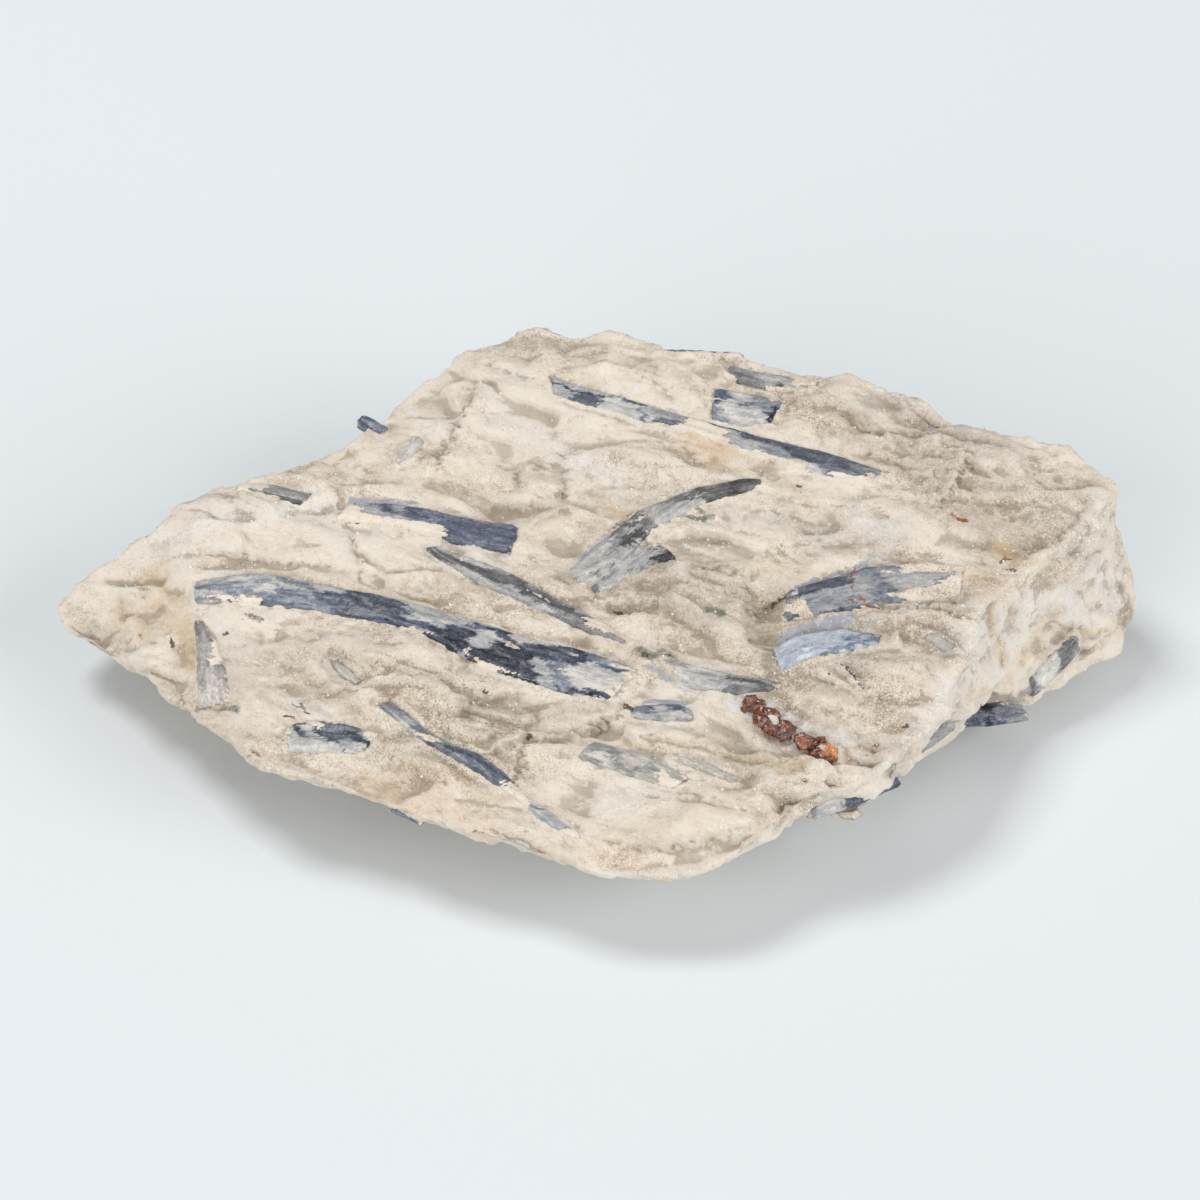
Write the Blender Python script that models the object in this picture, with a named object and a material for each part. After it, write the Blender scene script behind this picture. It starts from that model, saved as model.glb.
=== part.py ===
"""Kyanite blade cluster: kyanite blades and garnet grains set in a slab of massive quartz.

The slab lies on its flat underside.  +X runs to the right along the longest side, +Y to the
back, +Z up.  Every figure below is in millimetres; the finished solids are in metres.
"""
import math
import random
from collections import namedtuple

import bmesh
import bpy
from mathutils import Vector, noise
from mathutils.geometry import delaunay_2d_cdt, intersect_point_line

MM = 0.001                  # metres in a millimetre

# The slab.  Its top is a plane that falls towards the front, roughened by the quartz.
TOP_LEVEL = 25.0            # height of the mean top plane at the centre
TOP_RISE_X = 0.05           # rise of that plane along X
TOP_RISE_Y = 0.14           # rise of that plane along Y
GRAIN_SIZE = 3.9            # spacing of the points that carry the top's relief
RIM_STEP = 4.1              # spacing of the stations around the rim
WALL_RINGS = 4              # rings between the rim and the waist
ROUGH_TOP = 0.85            # height of the quartz roughness on the top
ROUGH_WALL = 1.3            # depth of the roughness on the broken sides
FOLIATION = math.radians(-20.0)     # direction in which quartz ridges and blades run
LEFT_FACET = (13.9, -92.8, 9.9, 0.396, 0.272)   # height at a point, the point, rises in X and Y

# The blades.
GAP = 0.3                   # clearance between a crystal and its pocket
PROUD = 0.8                 # how far a blade stands above the quartz beside it
CUT_ABOVE = 3.5             # how far a pocket's cutter stands above the blade
STATION_STEP = 8.0          # longest distance between two sections of a blade
SEED = 41

# Each row is one station of the slab's side: rim x, y, z; waist x, y, z; foot x, y.
# They run from the left tip round the back, the right corner and the front.
SIDE = [
    (-92.9, 10.0, 13.8, -91.0, 10.5, 10.5, -64.0, 14.5),
    (-86.6, 15.5, 18.9, -85.5, 17.5, 11.0, -66.0, 24.0),
    (-81.0, 17.3, 21.4, -80.5, 21.0, 12.0, -66.0, 28.0),
    (-76.1, 20.5, 24.1, -76.5, 24.5, 13.0, -64.0, 30.5),
    (-73.8, 25.4, 24.9, -73.5, 29.0, 13.0, -61.0, 33.0),
    (-67.1, 28.8, 25.7, -67.0, 32.5, 13.5, -56.0, 35.0),
    (-59.1, 30.6, 26.4, -59.0, 34.5, 14.0, -50.0, 36.5),
    (-52.6, 33.4, 27.0, -53.0, 37.0, 15.0, -45.5, 38.5),
    (-47.8, 34.7, 27.5, -48.5, 39.5, 15.0, -42.5, 40.0),
    (-45.1, 38.3, 28.2, -45.5, 42.5, 14.5, -40.5, 42.0),
    (-36.1, 46.7, 29.7, -37.5, 49.5, 15.0, -34.0, 47.5),
    (-30.0, 53.6, 31.0, -31.0, 56.0, 15.5, -29.0, 52.0),
    (-24.3, 59.4, 32.1, -24.5, 60.0, 16.0, -23.5, 55.5),
    (-17.0, 61.3, 32.7, -17.0, 62.3, 16.0, -17.0, 57.5),
    (-10.8, 62.1, 35.1, -10.5, 62.6, 17.0, -10.5, 58.0),
    (-4.5, 61.7, 33.4, -4.0, 62.4, 16.0, -4.0, 57.5),
    (1.8, 61.9, 34.7, 2.0, 62.4, 17.0, 2.5, 57.0),
    (9.1, 59.2, 33.8, 9.5, 60.5, 16.0, 9.0, 55.0),
    (16.0, 57.3, 33.8, 16.5, 59.5, 16.0, 15.5, 53.5),
    (24.0, 55.8, 34.0, 24.5, 57.5, 15.0, 23.5, 51.5),
    (30.2, 52.0, 33.8, 31.0, 54.0, 15.0, 29.5, 48.5),
    (37.2, 49.2, 33.7, 38.0, 51.0, 15.0, 36.5, 46.0),
    (44.2, 48.7, 35.0, 45.5, 49.5, 15.0, 43.5, 44.5),
    (52.1, 46.2, 34.0, 53.0, 47.0, 15.0, 51.0, 42.0),
    (55.5, 42.1, 33.7, 57.5, 43.5, 15.0, 55.5, 39.5),
    (62.7, 37.6, 33.4, 64.5, 40.5, 15.0, 62.5, 36.5),
    (69.6, 34.0, 33.3, 71.5, 36.0, 15.0, 69.0, 32.5),
    (80.5, 30.0, 33.2, 82.5, 31.5, 15.0, 79.0, 28.0),
    (85.7, 24.4, 32.7, 88.5, 27.0, 17.0, 84.5, 25.0),
    (88.6, 21.4, 32.4, 92.6, 20.8, 16.5, 87.0, 21.5),
    (85.1, 16.2, 31.5, 93.9, 13.5, 9.5, 85.5, 16.5),
    (77.7, 8.3, 30.0, 89.6, 7.0, 7.0, 81.5, 12.5),
    (70.4, 2.0, 28.8, 84.0, 4.2, 6.0, 77.5, 9.0),
    (64.1, -4.2, 27.6, 78.8, -1.8, 6.0, 72.0, 5.0),
    (61.1, -11.5, 26.4, 72.1, -7.5, 6.0, 65.5, 0.0),
    (58.1, -19.7, 25.1, 65.1, -11.2, 7.0, 58.5, -1.5),
    (56.0, -26.2, 24.1, 59.2, -13.8, 5.6, 52.0, -3.0),
    (52.4, -31.3, 23.2, 52.6, -23.9, 10.0, 45.5, -9.0),
    (48.2, -34.6, 22.6, 48.0, -30.4, 11.0, 40.5, -14.5),
    (44.1, -37.0, 22.0, 43.4, -37.6, 11.3, 35.5, -20.0),
    (40.0, -39.2, 21.5, 37.6, -39.2, 12.0, 31.0, -22.5),
    (35.1, -41.9, 20.9, 32.4, -39.4, 12.0, 27.0, -23.5),
    (29.9, -44.4, 19.2, 28.0, -40.4, 12.0, 23.5, -25.0),
    (22.1, -51.3, 16.9, 20.5, -46.4, 11.0, 14.5, -28.0),
    (15.8, -53.0, 15.4, 15.5, -48.5, 10.5, 10.0, -29.0),
    (1.6, -54.2, 15.5, 1.5, -50.0, 11.0, -2.0, -29.0),
    (-5.5, -52.0, 16.4, -6.0, -48.0, 12.5, -9.0, -28.0),
    (-10.9, -51.4, 17.2, -12.0, -47.5, 13.0, -15.0, -27.0),
    (-20.8, -47.0, 17.4, -21.0, -42.0, 13.0, -23.0, -22.5),
    (-27.8, -44.7, 17.4, -27.5, -40.5, 13.0, -29.0, -20.5),
    (-35.4, -40.2, 17.6, -34.5, -35.5, 13.0, -35.0, -16.0),
    (-43.5, -36.1, 17.8, -42.5, -32.0, 13.5, -41.0, -12.0),
    (-55.0, -31.5, 17.9, -53.0, -27.5, 13.5, -47.0, -7.0),
    (-59.8, -27.0, 18.3, -57.5, -22.5, 14.0, -50.0, -3.0),
    (-66.6, -23.4, 18.4, -63.5, -19.0, 14.0, -53.0, 1.0),
    (-71.2, -14.7, 16.4, -67.5, -10.5, 12.5, -56.0, 4.0),
    (-77.6, -7.4, 15.1, -74.0, -3.5, 11.0, -59.0, 7.0),
    (-88.3, 2.6, 12.9, -84.5, 5.5, 9.5, -62.0, 10.0),
    (-92.1, 5.5, 13.1, -88.5, 7.5, 10.0, -63.5, 12.0),
]

# Broad swells and hollows of the top: x, y, radius, height.
SWELLS = [
    (-10.0, 58.0, 8.0, 1.6), (2.5, 58.5, 6.0, 1.1), (-4.5, 59.5, 3.5, -1.2),
    (10.0, 49.5, 9.0, 1.3), (-19.0, 47.0, 12.0, 2.2), (45.0, 44.0, 8.0, 1.5),
    (59.5, 27.5, 7.0, 1.4), (-60.0, 18.0, 10.0, 2.0), (-9.5, -23.0, 9.0, 0.9),
    (-17.0, 23.5, 8.0, -1.7), (-3.0, 27.0, 8.0, -1.3), (64.0, 13.0, 9.0, -1.0),
    (27.5, -8.0, 5.0, -1.8), (72.0, 24.0, 8.0, 1.0), (-30.0, -8.0, 9.0, 1.0),
    (16.0, 4.0, 8.0, 0.9), (-50.0, -12.0, 9.0, -0.8), (46.0, -24.0, 8.0, 0.9),
]

# Ledges: the drop, how far it reaches, and a line with the high side on its left.
LEDGES = [
    (2.2, 9.0, ((8.0, -26.3), (1.0, -27.8), (-6.5, -29.0), (-12.7, -28.4), (-18.6, -31.2),
                (-26.0, -29.0), (-34.0, -26.8))),
    (1.3, 8.0, ((39.0, -38.6), (27.4, -34.6), (17.8, -31.0), (8.6, -26.6))),
    (1.2, 6.0, ((30.0, -45.0), (20.7, -45.2), (9.6, -41.8), (0.0, -40.6))),
    (1.6, 9.0, ((-24.0, -1.8), (-33.7, 2.6), (-45.8, 7.6), (-57.9, 10.0), (-69.9, 10.2))),
    (1.3, 8.0, ((17.0, 33.6), (8.8, 37.0), (0.0, 41.0), (-9.2, 45.0), (-9.8, 50.0))),
    (1.0, 8.0, ((-36.0, 3.0), (-42.3, 11.0), (-43.9, 20.0), (-47.0, 29.5))),
    (1.1, 6.0, ((58.5, 22.0), (63.4, 25.0), (64.0, 29.6), (58.5, 31.4))),
]

QUARTZ = (0.74, 0.66, 0.55)
NAVY = (0.055, 0.085, 0.19)
BLUE = (0.16, 0.24, 0.42)
SKY = (0.34, 0.43, 0.60)
SLATE = (0.23, 0.27, 0.33)
PALE = (0.46, 0.51, 0.56)
MOSS = (0.34, 0.38, 0.36)
GARNET = (0.33, 0.06, 0.02)

# A blade lying in the top: its centre line as x, y, width; thickness; roll about its length in
# degrees; the step along its face as a fraction of the width and a depth; how far each end is
# cut off askew as a fraction of the width; colour.
Blade = namedtuple("Blade", "path thick roll step skew colour")

TOP_BLADES = {
    "blade_great": Blade(
        [(-69.3, 5.1, 5.6), (-58.5, 4.4, 6.7), (-49.4, 2.6, 6.2), (-39.4, -0.6, 6.4),
         (-30.8, -3.3, 6.0), (-24.2, -6.4, 7.6), (-17.3, -10.5, 9.6), (-9.7, -13.6, 10.0),
         (-2.1, -16.1, 9.6), (4.3, -18.3, 7.2)],
        3.6, 4.0, (0.12, 0.5), (-0.3, 0.35), NAVY),
    "blade_back_long": Blade(
        [(-8.6, 48.4, 5.0), (-1.0, 45.4, 4.8), (6.7, 42.4, 4.4), (17.0, 38.0, 4.5),
         (27.5, 33.4, 5.0), (37.4, 28.9, 6.5), (47.6, 24.9, 4.4)],
        3.0, -5.0, (-0.15, 0.45), (-0.5, 0.6), BLUE),
    "blade_left_upper": Blade(
        [(-44.4, 21.9, 5.0), (-34.6, 20.3, 5.8), (-25.9, 17.6, 6.5), (-14.0, 14.3, 6.7)],
        3.0, 3.0, (0.18, 0.4), (0.5, -0.12), NAVY),
    "blade_left_rim": Blade(
        [(-63.2, 27.4, 1.8), (-57.5, 26.6, 3.2), (-50.4, 23.9, 3.6)],
        1.8, 0.0, (0.0, 0.25), (0.4, 0.4), SLATE),
    "blade_glassy": Blade(
        [(-68.0, -0.6, 1.6), (-66.4, -5.5, 3.4), (-65.0, -11.5, 5.4), (-63.6, -19.0, 6.0)],
        2.4, 4.0, (0.1, 0.35), (0.0, 0.2), PALE),
    "blade_slender": Blade(
        [(-29.2, 13.0, 1.8), (-20.9, 7.0, 4.8), (-12.5, 1.7, 4.9), (-3.8, -4.3, 3.6),
         (5.0, -9.6, 1.7)],
        2.4, 8.0, (0.05, 0.6), (0.5, 0.3), SLATE),
    "blade_curved": Blade(
        [(-4.8, 4.2, 5.0), (1.0, 9.6, 6.6), (7.6, 17.2, 5.6), (17.7, 22.6, 5.0),
         (25.3, 24.6, 3.3), (28.0, 24.9, 1.3)],
        3.0, -6.0, (-0.1, 0.5), (0.2, 0.3), SLATE),
    "blade_curved_short": Blade(
        [(-2.2, 2.9, 5.0), (4.4, 7.6, 6.0), (11.4, 10.2, 5.6)],
        3.0, -4.0, (0.1, 0.4), (0.3, -0.3), SLATE),
    "blade_broad": Blade(
        [(30.6, -2.6, 5.6), (38.6, -1.4, 8.2), (45.8, 0.2, 9.4), (54.0, 1.0, 9.4),
         (61.0, 1.1, 7.0)],
        3.4, 3.0, (0.15, 0.5), (0.5, 0.2), BLUE),
    "blade_bright": Blade(
        [(28.6, -13.8, 6.4), (33.6, -11.5, 8.4), (40.2, -10.7, 6.8), (46.4, -11.2, 2.6)],
        3.2, -8.0, (-0.12, 0.6), (0.3, 0.3), SKY),
    "blade_front": Blade(
        [(-35.4, -20.5, 2.5), (-29.6, -26.4, 3.0), (-25.2, -30.3, 3.1), (-20.2, -33.9, 3.8),
         (-15.9, -37.4, 3.1), (-12.4, -41.4, 1.8), (-8.4, -44.8, 2.5), (-3.3, -49.2, 1.5)],
        2.0, -6.0, (0.05, 0.35), (0.4, 0.5), BLUE),
    "blade_mossy": Blade(
        [(-2.6, -32.2, 4.0), (5.8, -35.0, 5.4), (13.2, -39.0, 3.2)],
        2.2, 0.0, (0.1, 0.3), (0.4, 0.4), MOSS),
    "blade_faint": Blade(
        [(11.6, -33.6, 1.6), (16.8, -36.1, 2.1), (22.0, -39.0, 1.5)],
        1.3, 0.0, (0.0, 0.15), (0.4, 0.4), MOSS),
    "blade_stub": Blade(
        [(5.0, -24.2, 2.6), (8.6, -24.3, 3.8), (12.7, -24.6, 4.0), (15.4, -25.2, 2.0)],
        2.0, 0.0, (-0.1, 0.3), (0.2, -0.2), NAVY),
    "blade_grey": Blade(
        [(9.9, -14.0, 1.8), (15.5, -17.4, 5.0), (22.6, -19.2, 4.2), (29.6, -20.2, 1.9)],
        2.4, 4.0, (0.1, 0.4), (0.4, 0.3), SLATE),
    "blade_square": Blade(
        [(19.4, 43.4, 7.6), (25.0, 41.6, 8.4), (31.4, 40.6, 6.2)],
        3.0, 6.0, (0.1, 0.6), (-0.2, 0.3), NAVY),
    "blade_small_left": Blade(
        [(-35.8, 32.3, 1.4), (-33.1, 35.0, 2.7), (-31.2, 37.5, 1.6)],
        1.4, 0.0, (0.0, 0.15), (0.3, 0.3), SLATE),
    "blade_pale_left": Blade(
        [(-44.4, -11.2, 1.2), (-42.0, -14.2, 2.1), (-39.6, -16.6, 1.4)],
        1.2, 0.0, (0.0, 0.15), (0.3, 0.3), PALE),
    "blade_mica": Blade(
        [(-52.0, -26.6, 5.4), (-47.6, -26.6, 7.6), (-42.6, -27.2, 7.2), (-37.0, -28.8, 5.0)],
        2.8, 0.0, (-0.1, 0.6), (0.3, 0.4), BLUE),
    "blade_rim_mass": Blade(
        [(22.2, 51.2, 3.8), (30.3, 47.9, 4.4), (38.6, 46.6, 2.2)],
        2.2, 0.0, (0.1, 0.3), (0.3, 0.3), SLATE),
    "blade_pale_right": Blade(
        [(54.0, -10.8, 1.6), (58.0, -13.6, 2.8)],
        1.4, 0.0, (0.0, 0.15), (0.3, 0.3), PALE),
    "blade_needle": Blade(
        [(40.0, -16.6, 0.9), (42.7, -21.8, 0.9)],
        0.9, 0.0, (0.0, 0.1), (0.3, 0.3), NAVY),
}

# Blades grown together: the second is joined to the first as one solid, a little lower.
GROWN_TOGETHER = {"blade_curved_short": "blade_curved"}
JOINED_LOWER = 0.4

# A blade showing at the rim or in a side: its two ends, the way it faces, width, thickness,
# how far each end is cut off askew, colour.
SideBlade = namedtuple("SideBlade", "start end facing width thick skew colour")

SIDE_BLADES = {
    "blade_rim_plate": SideBlade(
        (11.6, 57.4, 33.4), (25.6, 54.6, 34.6), (0.1, 0.95, 0.3), 2.2, 1.6, (0.4, 0.5), NAVY),
    "blade_nub": SideBlade(
        (-37.8, 41.4, 28.2), (-42.6, 45.4, 28.4), (-0.2, 0.2, 0.95), 3.0, 2.6, (0.1, 0.1), NAVY),
    "blade_wall_low": SideBlade(
        (58.6, -11.4, 9.2), (72.6, -8.6, 7.8), (0.15, -0.45, 0.9), 4.4, 2.4, (0.5, -0.4), NAVY),
    "blade_wall_plate": SideBlade(
        (73.4, -5.6, 9.2), (82.4, 2.0, 13.6), (0.72, -0.62, 0.3), 4.6, 2.6, (0.3, 0.4), SLATE),
    "blade_foot": SideBlade(
        (34.6, -38.6, 13.6), (49.2, -30.2, 12.8), (0.35, -0.9, 0.25), 5.0, 3.2, (0.5, -0.6), NAVY),
    "blade_foot_small": SideBlade(
        (53.0, -23.4, 12.6), (59.6, -16.2, 11.8), (0.6, -0.75, 0.3), 2.6, 2.0, (0.4, 0.4), SLATE),
    "blade_rim_sliver": SideBlade(
        (-34.4, -40.2, 16.6), (-28.4, -43.6, 16.2), (-0.35, -0.75, 0.5), 1.6, 1.5,
        (0.4, 0.4), NAVY),
}

# Garnet grains of one cluster: centre x, y; radii along, across and up; turn in degrees.
GARNETS = {
    "garnet_upper": [(25.0, -23.4, 1.9, 1.2, 1.3, -35), (27.4, -26.6, 2.9, 1.8, 1.6, -58),
                     (29.8, -28.9, 2.0, 1.5, 1.4, -30)],
    "garnet_lower": [(33.4, -31.4, 1.9, 1.3, 1.3, -40), (36.3, -33.6, 2.4, 1.4, 1.4, -38)],
}


def clear_scene():
    """Remove everything the startup file holds."""
    for item in list(bpy.data.objects):
        bpy.data.objects.remove(item, do_unlink=True)
    for mesh in list(bpy.data.meshes):
        bpy.data.meshes.remove(mesh)


def smooth(t):
    """Ease from 0 to 1 while t goes from 0 to 1."""
    t = max(0.0, min(1.0, t))
    return t * t * (3.0 - 2.0 * t)


def nearest_on_line(x, y, line):
    """Signed distance to a bent line (left is positive) and the way along it and to its end."""
    best = (1e9, 0.0, 0.0)
    travelled = 0.0
    total = sum(math.dist(a, b) for a, b in zip(line, line[1:]))
    for a, b in zip(line, line[1:]):
        dx, dy = b[0] - a[0], b[1] - a[1]
        length = math.hypot(dx, dy)
        t = max(0.0, min(1.0, ((x - a[0]) * dx + (y - a[1]) * dy) / length ** 2))
        away = math.hypot(x - a[0] - t * dx, y - a[1] - t * dy)
        if away < abs(best[0]):
            side = 1.0 if dx * (y - a[1]) - dy * (x - a[0]) >= 0.0 else -1.0
            best = (side * away, travelled + t * length, total)
        travelled += length
    return best


def base_height(x, y):
    """Height of the top without its fine roughness: the level the blades lie in."""
    z = TOP_LEVEL + TOP_RISE_X * x + TOP_RISE_Y * y
    for cx, cy, radius, height in SWELLS:
        z += height * math.exp(-((x - cx) ** 2 + (y - cy) ** 2) / radius ** 2)
    for drop, reach, line in LEDGES:
        away, along, total = nearest_on_line(x, y, line)
        fade = smooth(min(along, total - along) / 6.0)
        side = 1.0 if away >= 0.0 else -1.0
        z += 0.5 * drop * fade * side * smooth(abs(away) / 0.5) * math.exp(-abs(away) / reach)
    level, x0, y0, rise_x, rise_y = LEFT_FACET
    facet = level + rise_x * (x - x0) + rise_y * (y - y0)
    blend = 1.2
    h = max(0.0, blend - abs(z - facet)) / blend
    return min(z, facet) - h * h * blend * 0.25


def blade_clearance(x, y):
    """Distance from a point of the top to the nearest blade's edge."""
    best = 1e9
    for blade in TOP_BLADES.values():
        for a, b in zip(blade.path, blade.path[1:]):
            _, t = intersect_point_line(Vector((x, y)), Vector(a[:2]), Vector(b[:2]))
            t = max(0.0, min(1.0, t))
            px, py, w = (a[k] + t * (b[k] - a[k]) for k in range(3))
            best = min(best, math.hypot(x - px, y - py) - 0.5 * w)
    return best


def roughness(x, y):
    """Ridges of the massive quartz, drawn out along the foliation."""
    u = x * math.cos(FOLIATION) + y * math.sin(FOLIATION)
    v = -x * math.sin(FOLIATION) + y * math.cos(FOLIATION)
    ridges = 1.0 - 2.0 * abs(noise.noise(Vector((u / 17.0, v / 7.0, 3.1))))
    return 0.9 * ridges - 0.6 + 0.75 * noise.noise(Vector((u / 6.0, v / 4.2, 8.4)))


def top_height(x, y):
    """Height of the broken quartz top."""
    return base_height(x, y) + ROUGH_TOP * roughness(x, y) * smooth((blade_clearance(x, y) + 0.5) / 4.0)


def side_rings():
    """Rings of points from the rim down to the foot."""
    rows = [tuple(map(float, row)) for row in reversed(SIDE)]
    stations = []
    for row, following in zip(rows, rows[1:] + rows[:1]):
        count = max(1, round(math.dist(row[:3], following[:3]) / RIM_STEP))
        for k in range(count):
            t = k / count
            station = [a + t * (b - a) for a, b in zip(row, following)]
            if k:
                nudge = noise.noise_vector(Vector((station[0] / 5.0, station[1] / 5.0, 1.7)))
                station[0] += 0.9 * nudge.x
                station[1] += 0.9 * nudge.y
                station[2] += 0.7 * nudge.z
            stations.append(station)
    rings = []
    for level in range(WALL_RINGS + 3):
        ring = []
        for rx, ry, rz, wx, wy, wz, fx, fy in stations:
            rim, waist, foot = Vector((rx, ry, rz)), Vector((wx, wy, wz)), Vector((fx, fy, 0.0))
            if level <= WALL_RINGS:
                t = level / WALL_RINGS
                point = rim.lerp(waist, t)
                swell = ROUGH_WALL * math.sin(math.pi * t)
            else:
                t = (level - WALL_RINGS) / 2.0
                point = waist.lerp(foot, t)
                swell = ROUGH_WALL * math.sin(math.pi * t)
            if swell > 1e-6:
                point += noise.noise_vector(point / 9.0 + Vector((0, 0, 5))) * swell * 1.5
                point += noise.noise_vector(point / 3.7) * swell * 0.6
            ring.append(point)
        rings.append(ring)
    for point in rings[-1]:
        point.z = 0.0
    return rings


def inside(x, y, outline):
    """Whether a point lies within a closed outline."""
    hit = False
    for a, b in zip(outline, outline[1:] + outline[:1]):
        if (a[1] > y) != (b[1] > y) and x < (b[0] - a[0]) * (y - a[1]) / (b[1] - a[1]) + a[0]:
            hit = not hit
    return hit


def top_points(rim):
    """Points between the rim and the middle of the top, as x, y pairs."""
    outline = [(p.x, p.y) for p in rim]
    closed = outline + outline[:1]
    points = []
    for _, _, line in LEDGES:
        total = nearest_on_line(*line[0], line)[2]
        count = max(2, round(total / (1.1 * GRAIN_SIZE)))
        for k in range(count + 1):
            want, a, b = k / count * total, line[0], line[1]
            for a, b in zip(line, line[1:]):
                if want <= math.dist(a, b) + 1e-6:
                    break
                want -= math.dist(a, b)
            length = math.dist(a, b)
            dx, dy = (b[0] - a[0]) / length, (b[1] - a[1]) / length
            for side in (-0.55, 0.55):
                x, y = a[0] + want * dx - side * dy, a[1] + want * dy + side * dx
                if inside(x, y, outline) and abs(nearest_on_line(x, y, closed)[0]) > 1.4:
                    points.append((x, y))
    ledge_points = list(points)
    row_step = GRAIN_SIZE * math.sqrt(0.75)
    for j in range(-60, 61):
        for i in range(-60, 61):
            u, v = (i + 0.5 * (j % 2)) * GRAIN_SIZE, j * row_step
            x = u * math.cos(FOLIATION) - v * math.sin(FOLIATION) + random.uniform(-1, 1) * 0.24 * GRAIN_SIZE
            y = u * math.sin(FOLIATION) + v * math.cos(FOLIATION) + random.uniform(-1, 1) * 0.24 * GRAIN_SIZE
            if abs(x) > 95 or abs(y) > 65 or not inside(x, y, outline):
                continue
            if abs(nearest_on_line(x, y, closed)[0]) < 0.6 * GRAIN_SIZE:
                continue
            if any(math.dist((x, y), p) < 0.55 * GRAIN_SIZE for p in ledge_points):
                continue
            points.append((x, y))
    return points


def new_object(name, mesh, colour, rough=0.6):
    """Link an object with its own material."""
    item = bpy.data.objects.new(name, mesh)
    bpy.context.collection.objects.link(item)
    material = bpy.data.materials.new(name + "_surface")
    material.use_nodes = True
    shader = material.node_tree.nodes["Principled BSDF"]
    shader.inputs["Base Color"].default_value = (*colour, 1.0)
    shader.inputs["Roughness"].default_value = rough
    item.data.materials.clear()
    item.data.materials.append(material)
    return item


def mesh_from(name, points, faces):
    """A mesh with faces turned outwards; points are in millimetres."""
    grid = bmesh.new()
    verts = [grid.verts.new(Vector(p) * MM) for p in points]
    for face in faces:
        grid.faces.new([verts[k] for k in face])
    bmesh.ops.recalc_face_normals(grid, faces=grid.faces)
    mesh = bpy.data.meshes.new(name)
    grid.to_mesh(mesh)
    grid.free()
    return mesh


def slab_mesh():
    """The whole slab before any pocket is cut."""
    rings = side_rings()
    count = len(rings[0])
    rim = rings[0]
    flat = [Vector((p.x, p.y)) for p in rim] + [Vector(p) for p in top_points(rim)]
    loop = [(k, (k + 1) % count) for k in range(count)]
    spots, _, triangles, origin, _, _ = delaunay_2d_cdt(flat, loop, [], 1, 1e-6)
    points = [p for ring in rings for p in ring]
    index = {}
    closed = [(p.x, p.y) for p in rim] + [(rim[0].x, rim[0].y)]
    for k, (spot, sources) in enumerate(zip(spots, origin)):
        if sources and sources[0] < count:
            index[k] = sources[0]
            continue
        x, y = spot
        z = top_height(x, y)
        away, _, _ = nearest_on_line(x, y, closed)
        near = min(rim, key=lambda p: (p.x - x) ** 2 + (p.y - y) ** 2)
        z += (near.z - base_height(near.x, near.y)) * math.exp(-abs(away) / 4.0)
        index[k] = len(points)
        points.append((x, y, z))
    faces = [tuple(index[k] for k in triangle) for triangle in triangles]
    for level in range(len(rings) - 1):
        a, b = level * count, (level + 1) * count
        for k in range(count):
            n = (k + 1) % count
            if (points[a + k] - points[b + n]).length < (points[a + n] - points[b + k]).length:
                faces += [(a + k, b + k, b + n), (a + k, b + n, a + n)]
            else:
                faces += [(a + k, b + k, a + n), (a + n, b + k, b + n)]
    faces.append(tuple(range((len(rings) - 1) * count, len(rings) * count)))
    return mesh_from("matrix", points, faces)


def stations_of(blade):
    """Sections along a top blade: centre, direction, the way across, the way out, width."""
    path = [blade.path[0]]
    for a, b in zip(blade.path, blade.path[1:]):
        count = max(1, math.ceil(math.dist(a[:2], b[:2]) / STATION_STEP))
        path += [tuple(a[i] + k / count * (b[i] - a[i]) for i in range(3))
                 for k in range(1, count + 1)]
    centres = []
    for x, y, width in path:
        z = base_height(x, y) + PROUD
        centres.append(Vector((x, y, z)))
    levels = [c.z for c in centres]
    for k in range(1, len(centres) - 1):
        centres[k].z = 0.5 * levels[k] + 0.25 * (levels[k - 1] + levels[k + 1])
    result = []
    for k, (centre, row) in enumerate(zip(centres, path)):
        along = (centres[min(k + 1, len(path) - 1)] - centres[max(k - 1, 0)]).normalized()
        flat = Vector((-along.y, along.x, 0.0)).normalized()
        w = row[2]
        left, right = centre + flat * (0.5 * w + 0.8), centre - flat * (0.5 * w + 0.8)
        rise = (base_height(left.x, left.y) - base_height(right.x, right.y)) / (w + 1.6)
        rise = max(-0.25, min(0.4, rise))
        angle = math.atan(rise) * 0.7 + math.radians(blade.roll)
        up = along.cross(flat)
        if up.z < 0:
            up = -up
        across = (flat * math.cos(angle) + up * math.sin(angle)).normalized()
        out = along.cross(across)
        if out.z < 0:
            out = -out
        result.append((centre, along, across, out.normalized(), w))
    return result


def side_stations(blade):
    """Sections along a blade that shows in a side."""
    start, end = Vector(blade.start), Vector(blade.end)
    along = (end - start).normalized()
    out = Vector(blade.facing)
    out = (out - along * out.dot(along)).normalized()
    across = out.cross(along).normalized()
    rows = []
    count = max(2, math.ceil((end - start).length / STATION_STEP) + 1)
    for k in range(count):
        t = k / (count - 1)
        width = blade.width * (1.0 - 0.25 * abs(2.0 * t - 1.0))
        rows.append((start.lerp(end, t), along, across, out, width))
    return rows


def loft(name, sections):
    """Closed solid through sections that have equal counts of points."""
    size = len(sections[0])
    points = [p for section in sections for p in section]
    faces = []
    for level in range(len(sections) - 1):
        a, b = level * size, (level + 1) * size
        for k in range(size):
            n = (k + 1) % size
            faces += [(a + k, a + n, b + n), (a + k, b + n, b + k)]
    for level in (0, len(sections) - 1):
        ring = sections[level]
        middle = sum(ring, Vector()) / size
        outward = -1.0 if level == 0 else 1.0
        other = sum(sections[level - int(outward)], Vector()) / size
        points.append(middle + (middle - other).normalized() * 0.15)
        faces += [(level * size + k, level * size + (k + 1) % size, len(points) - 1)
                  for k in range(size)]
    return mesh_from(name, points, faces)


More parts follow.
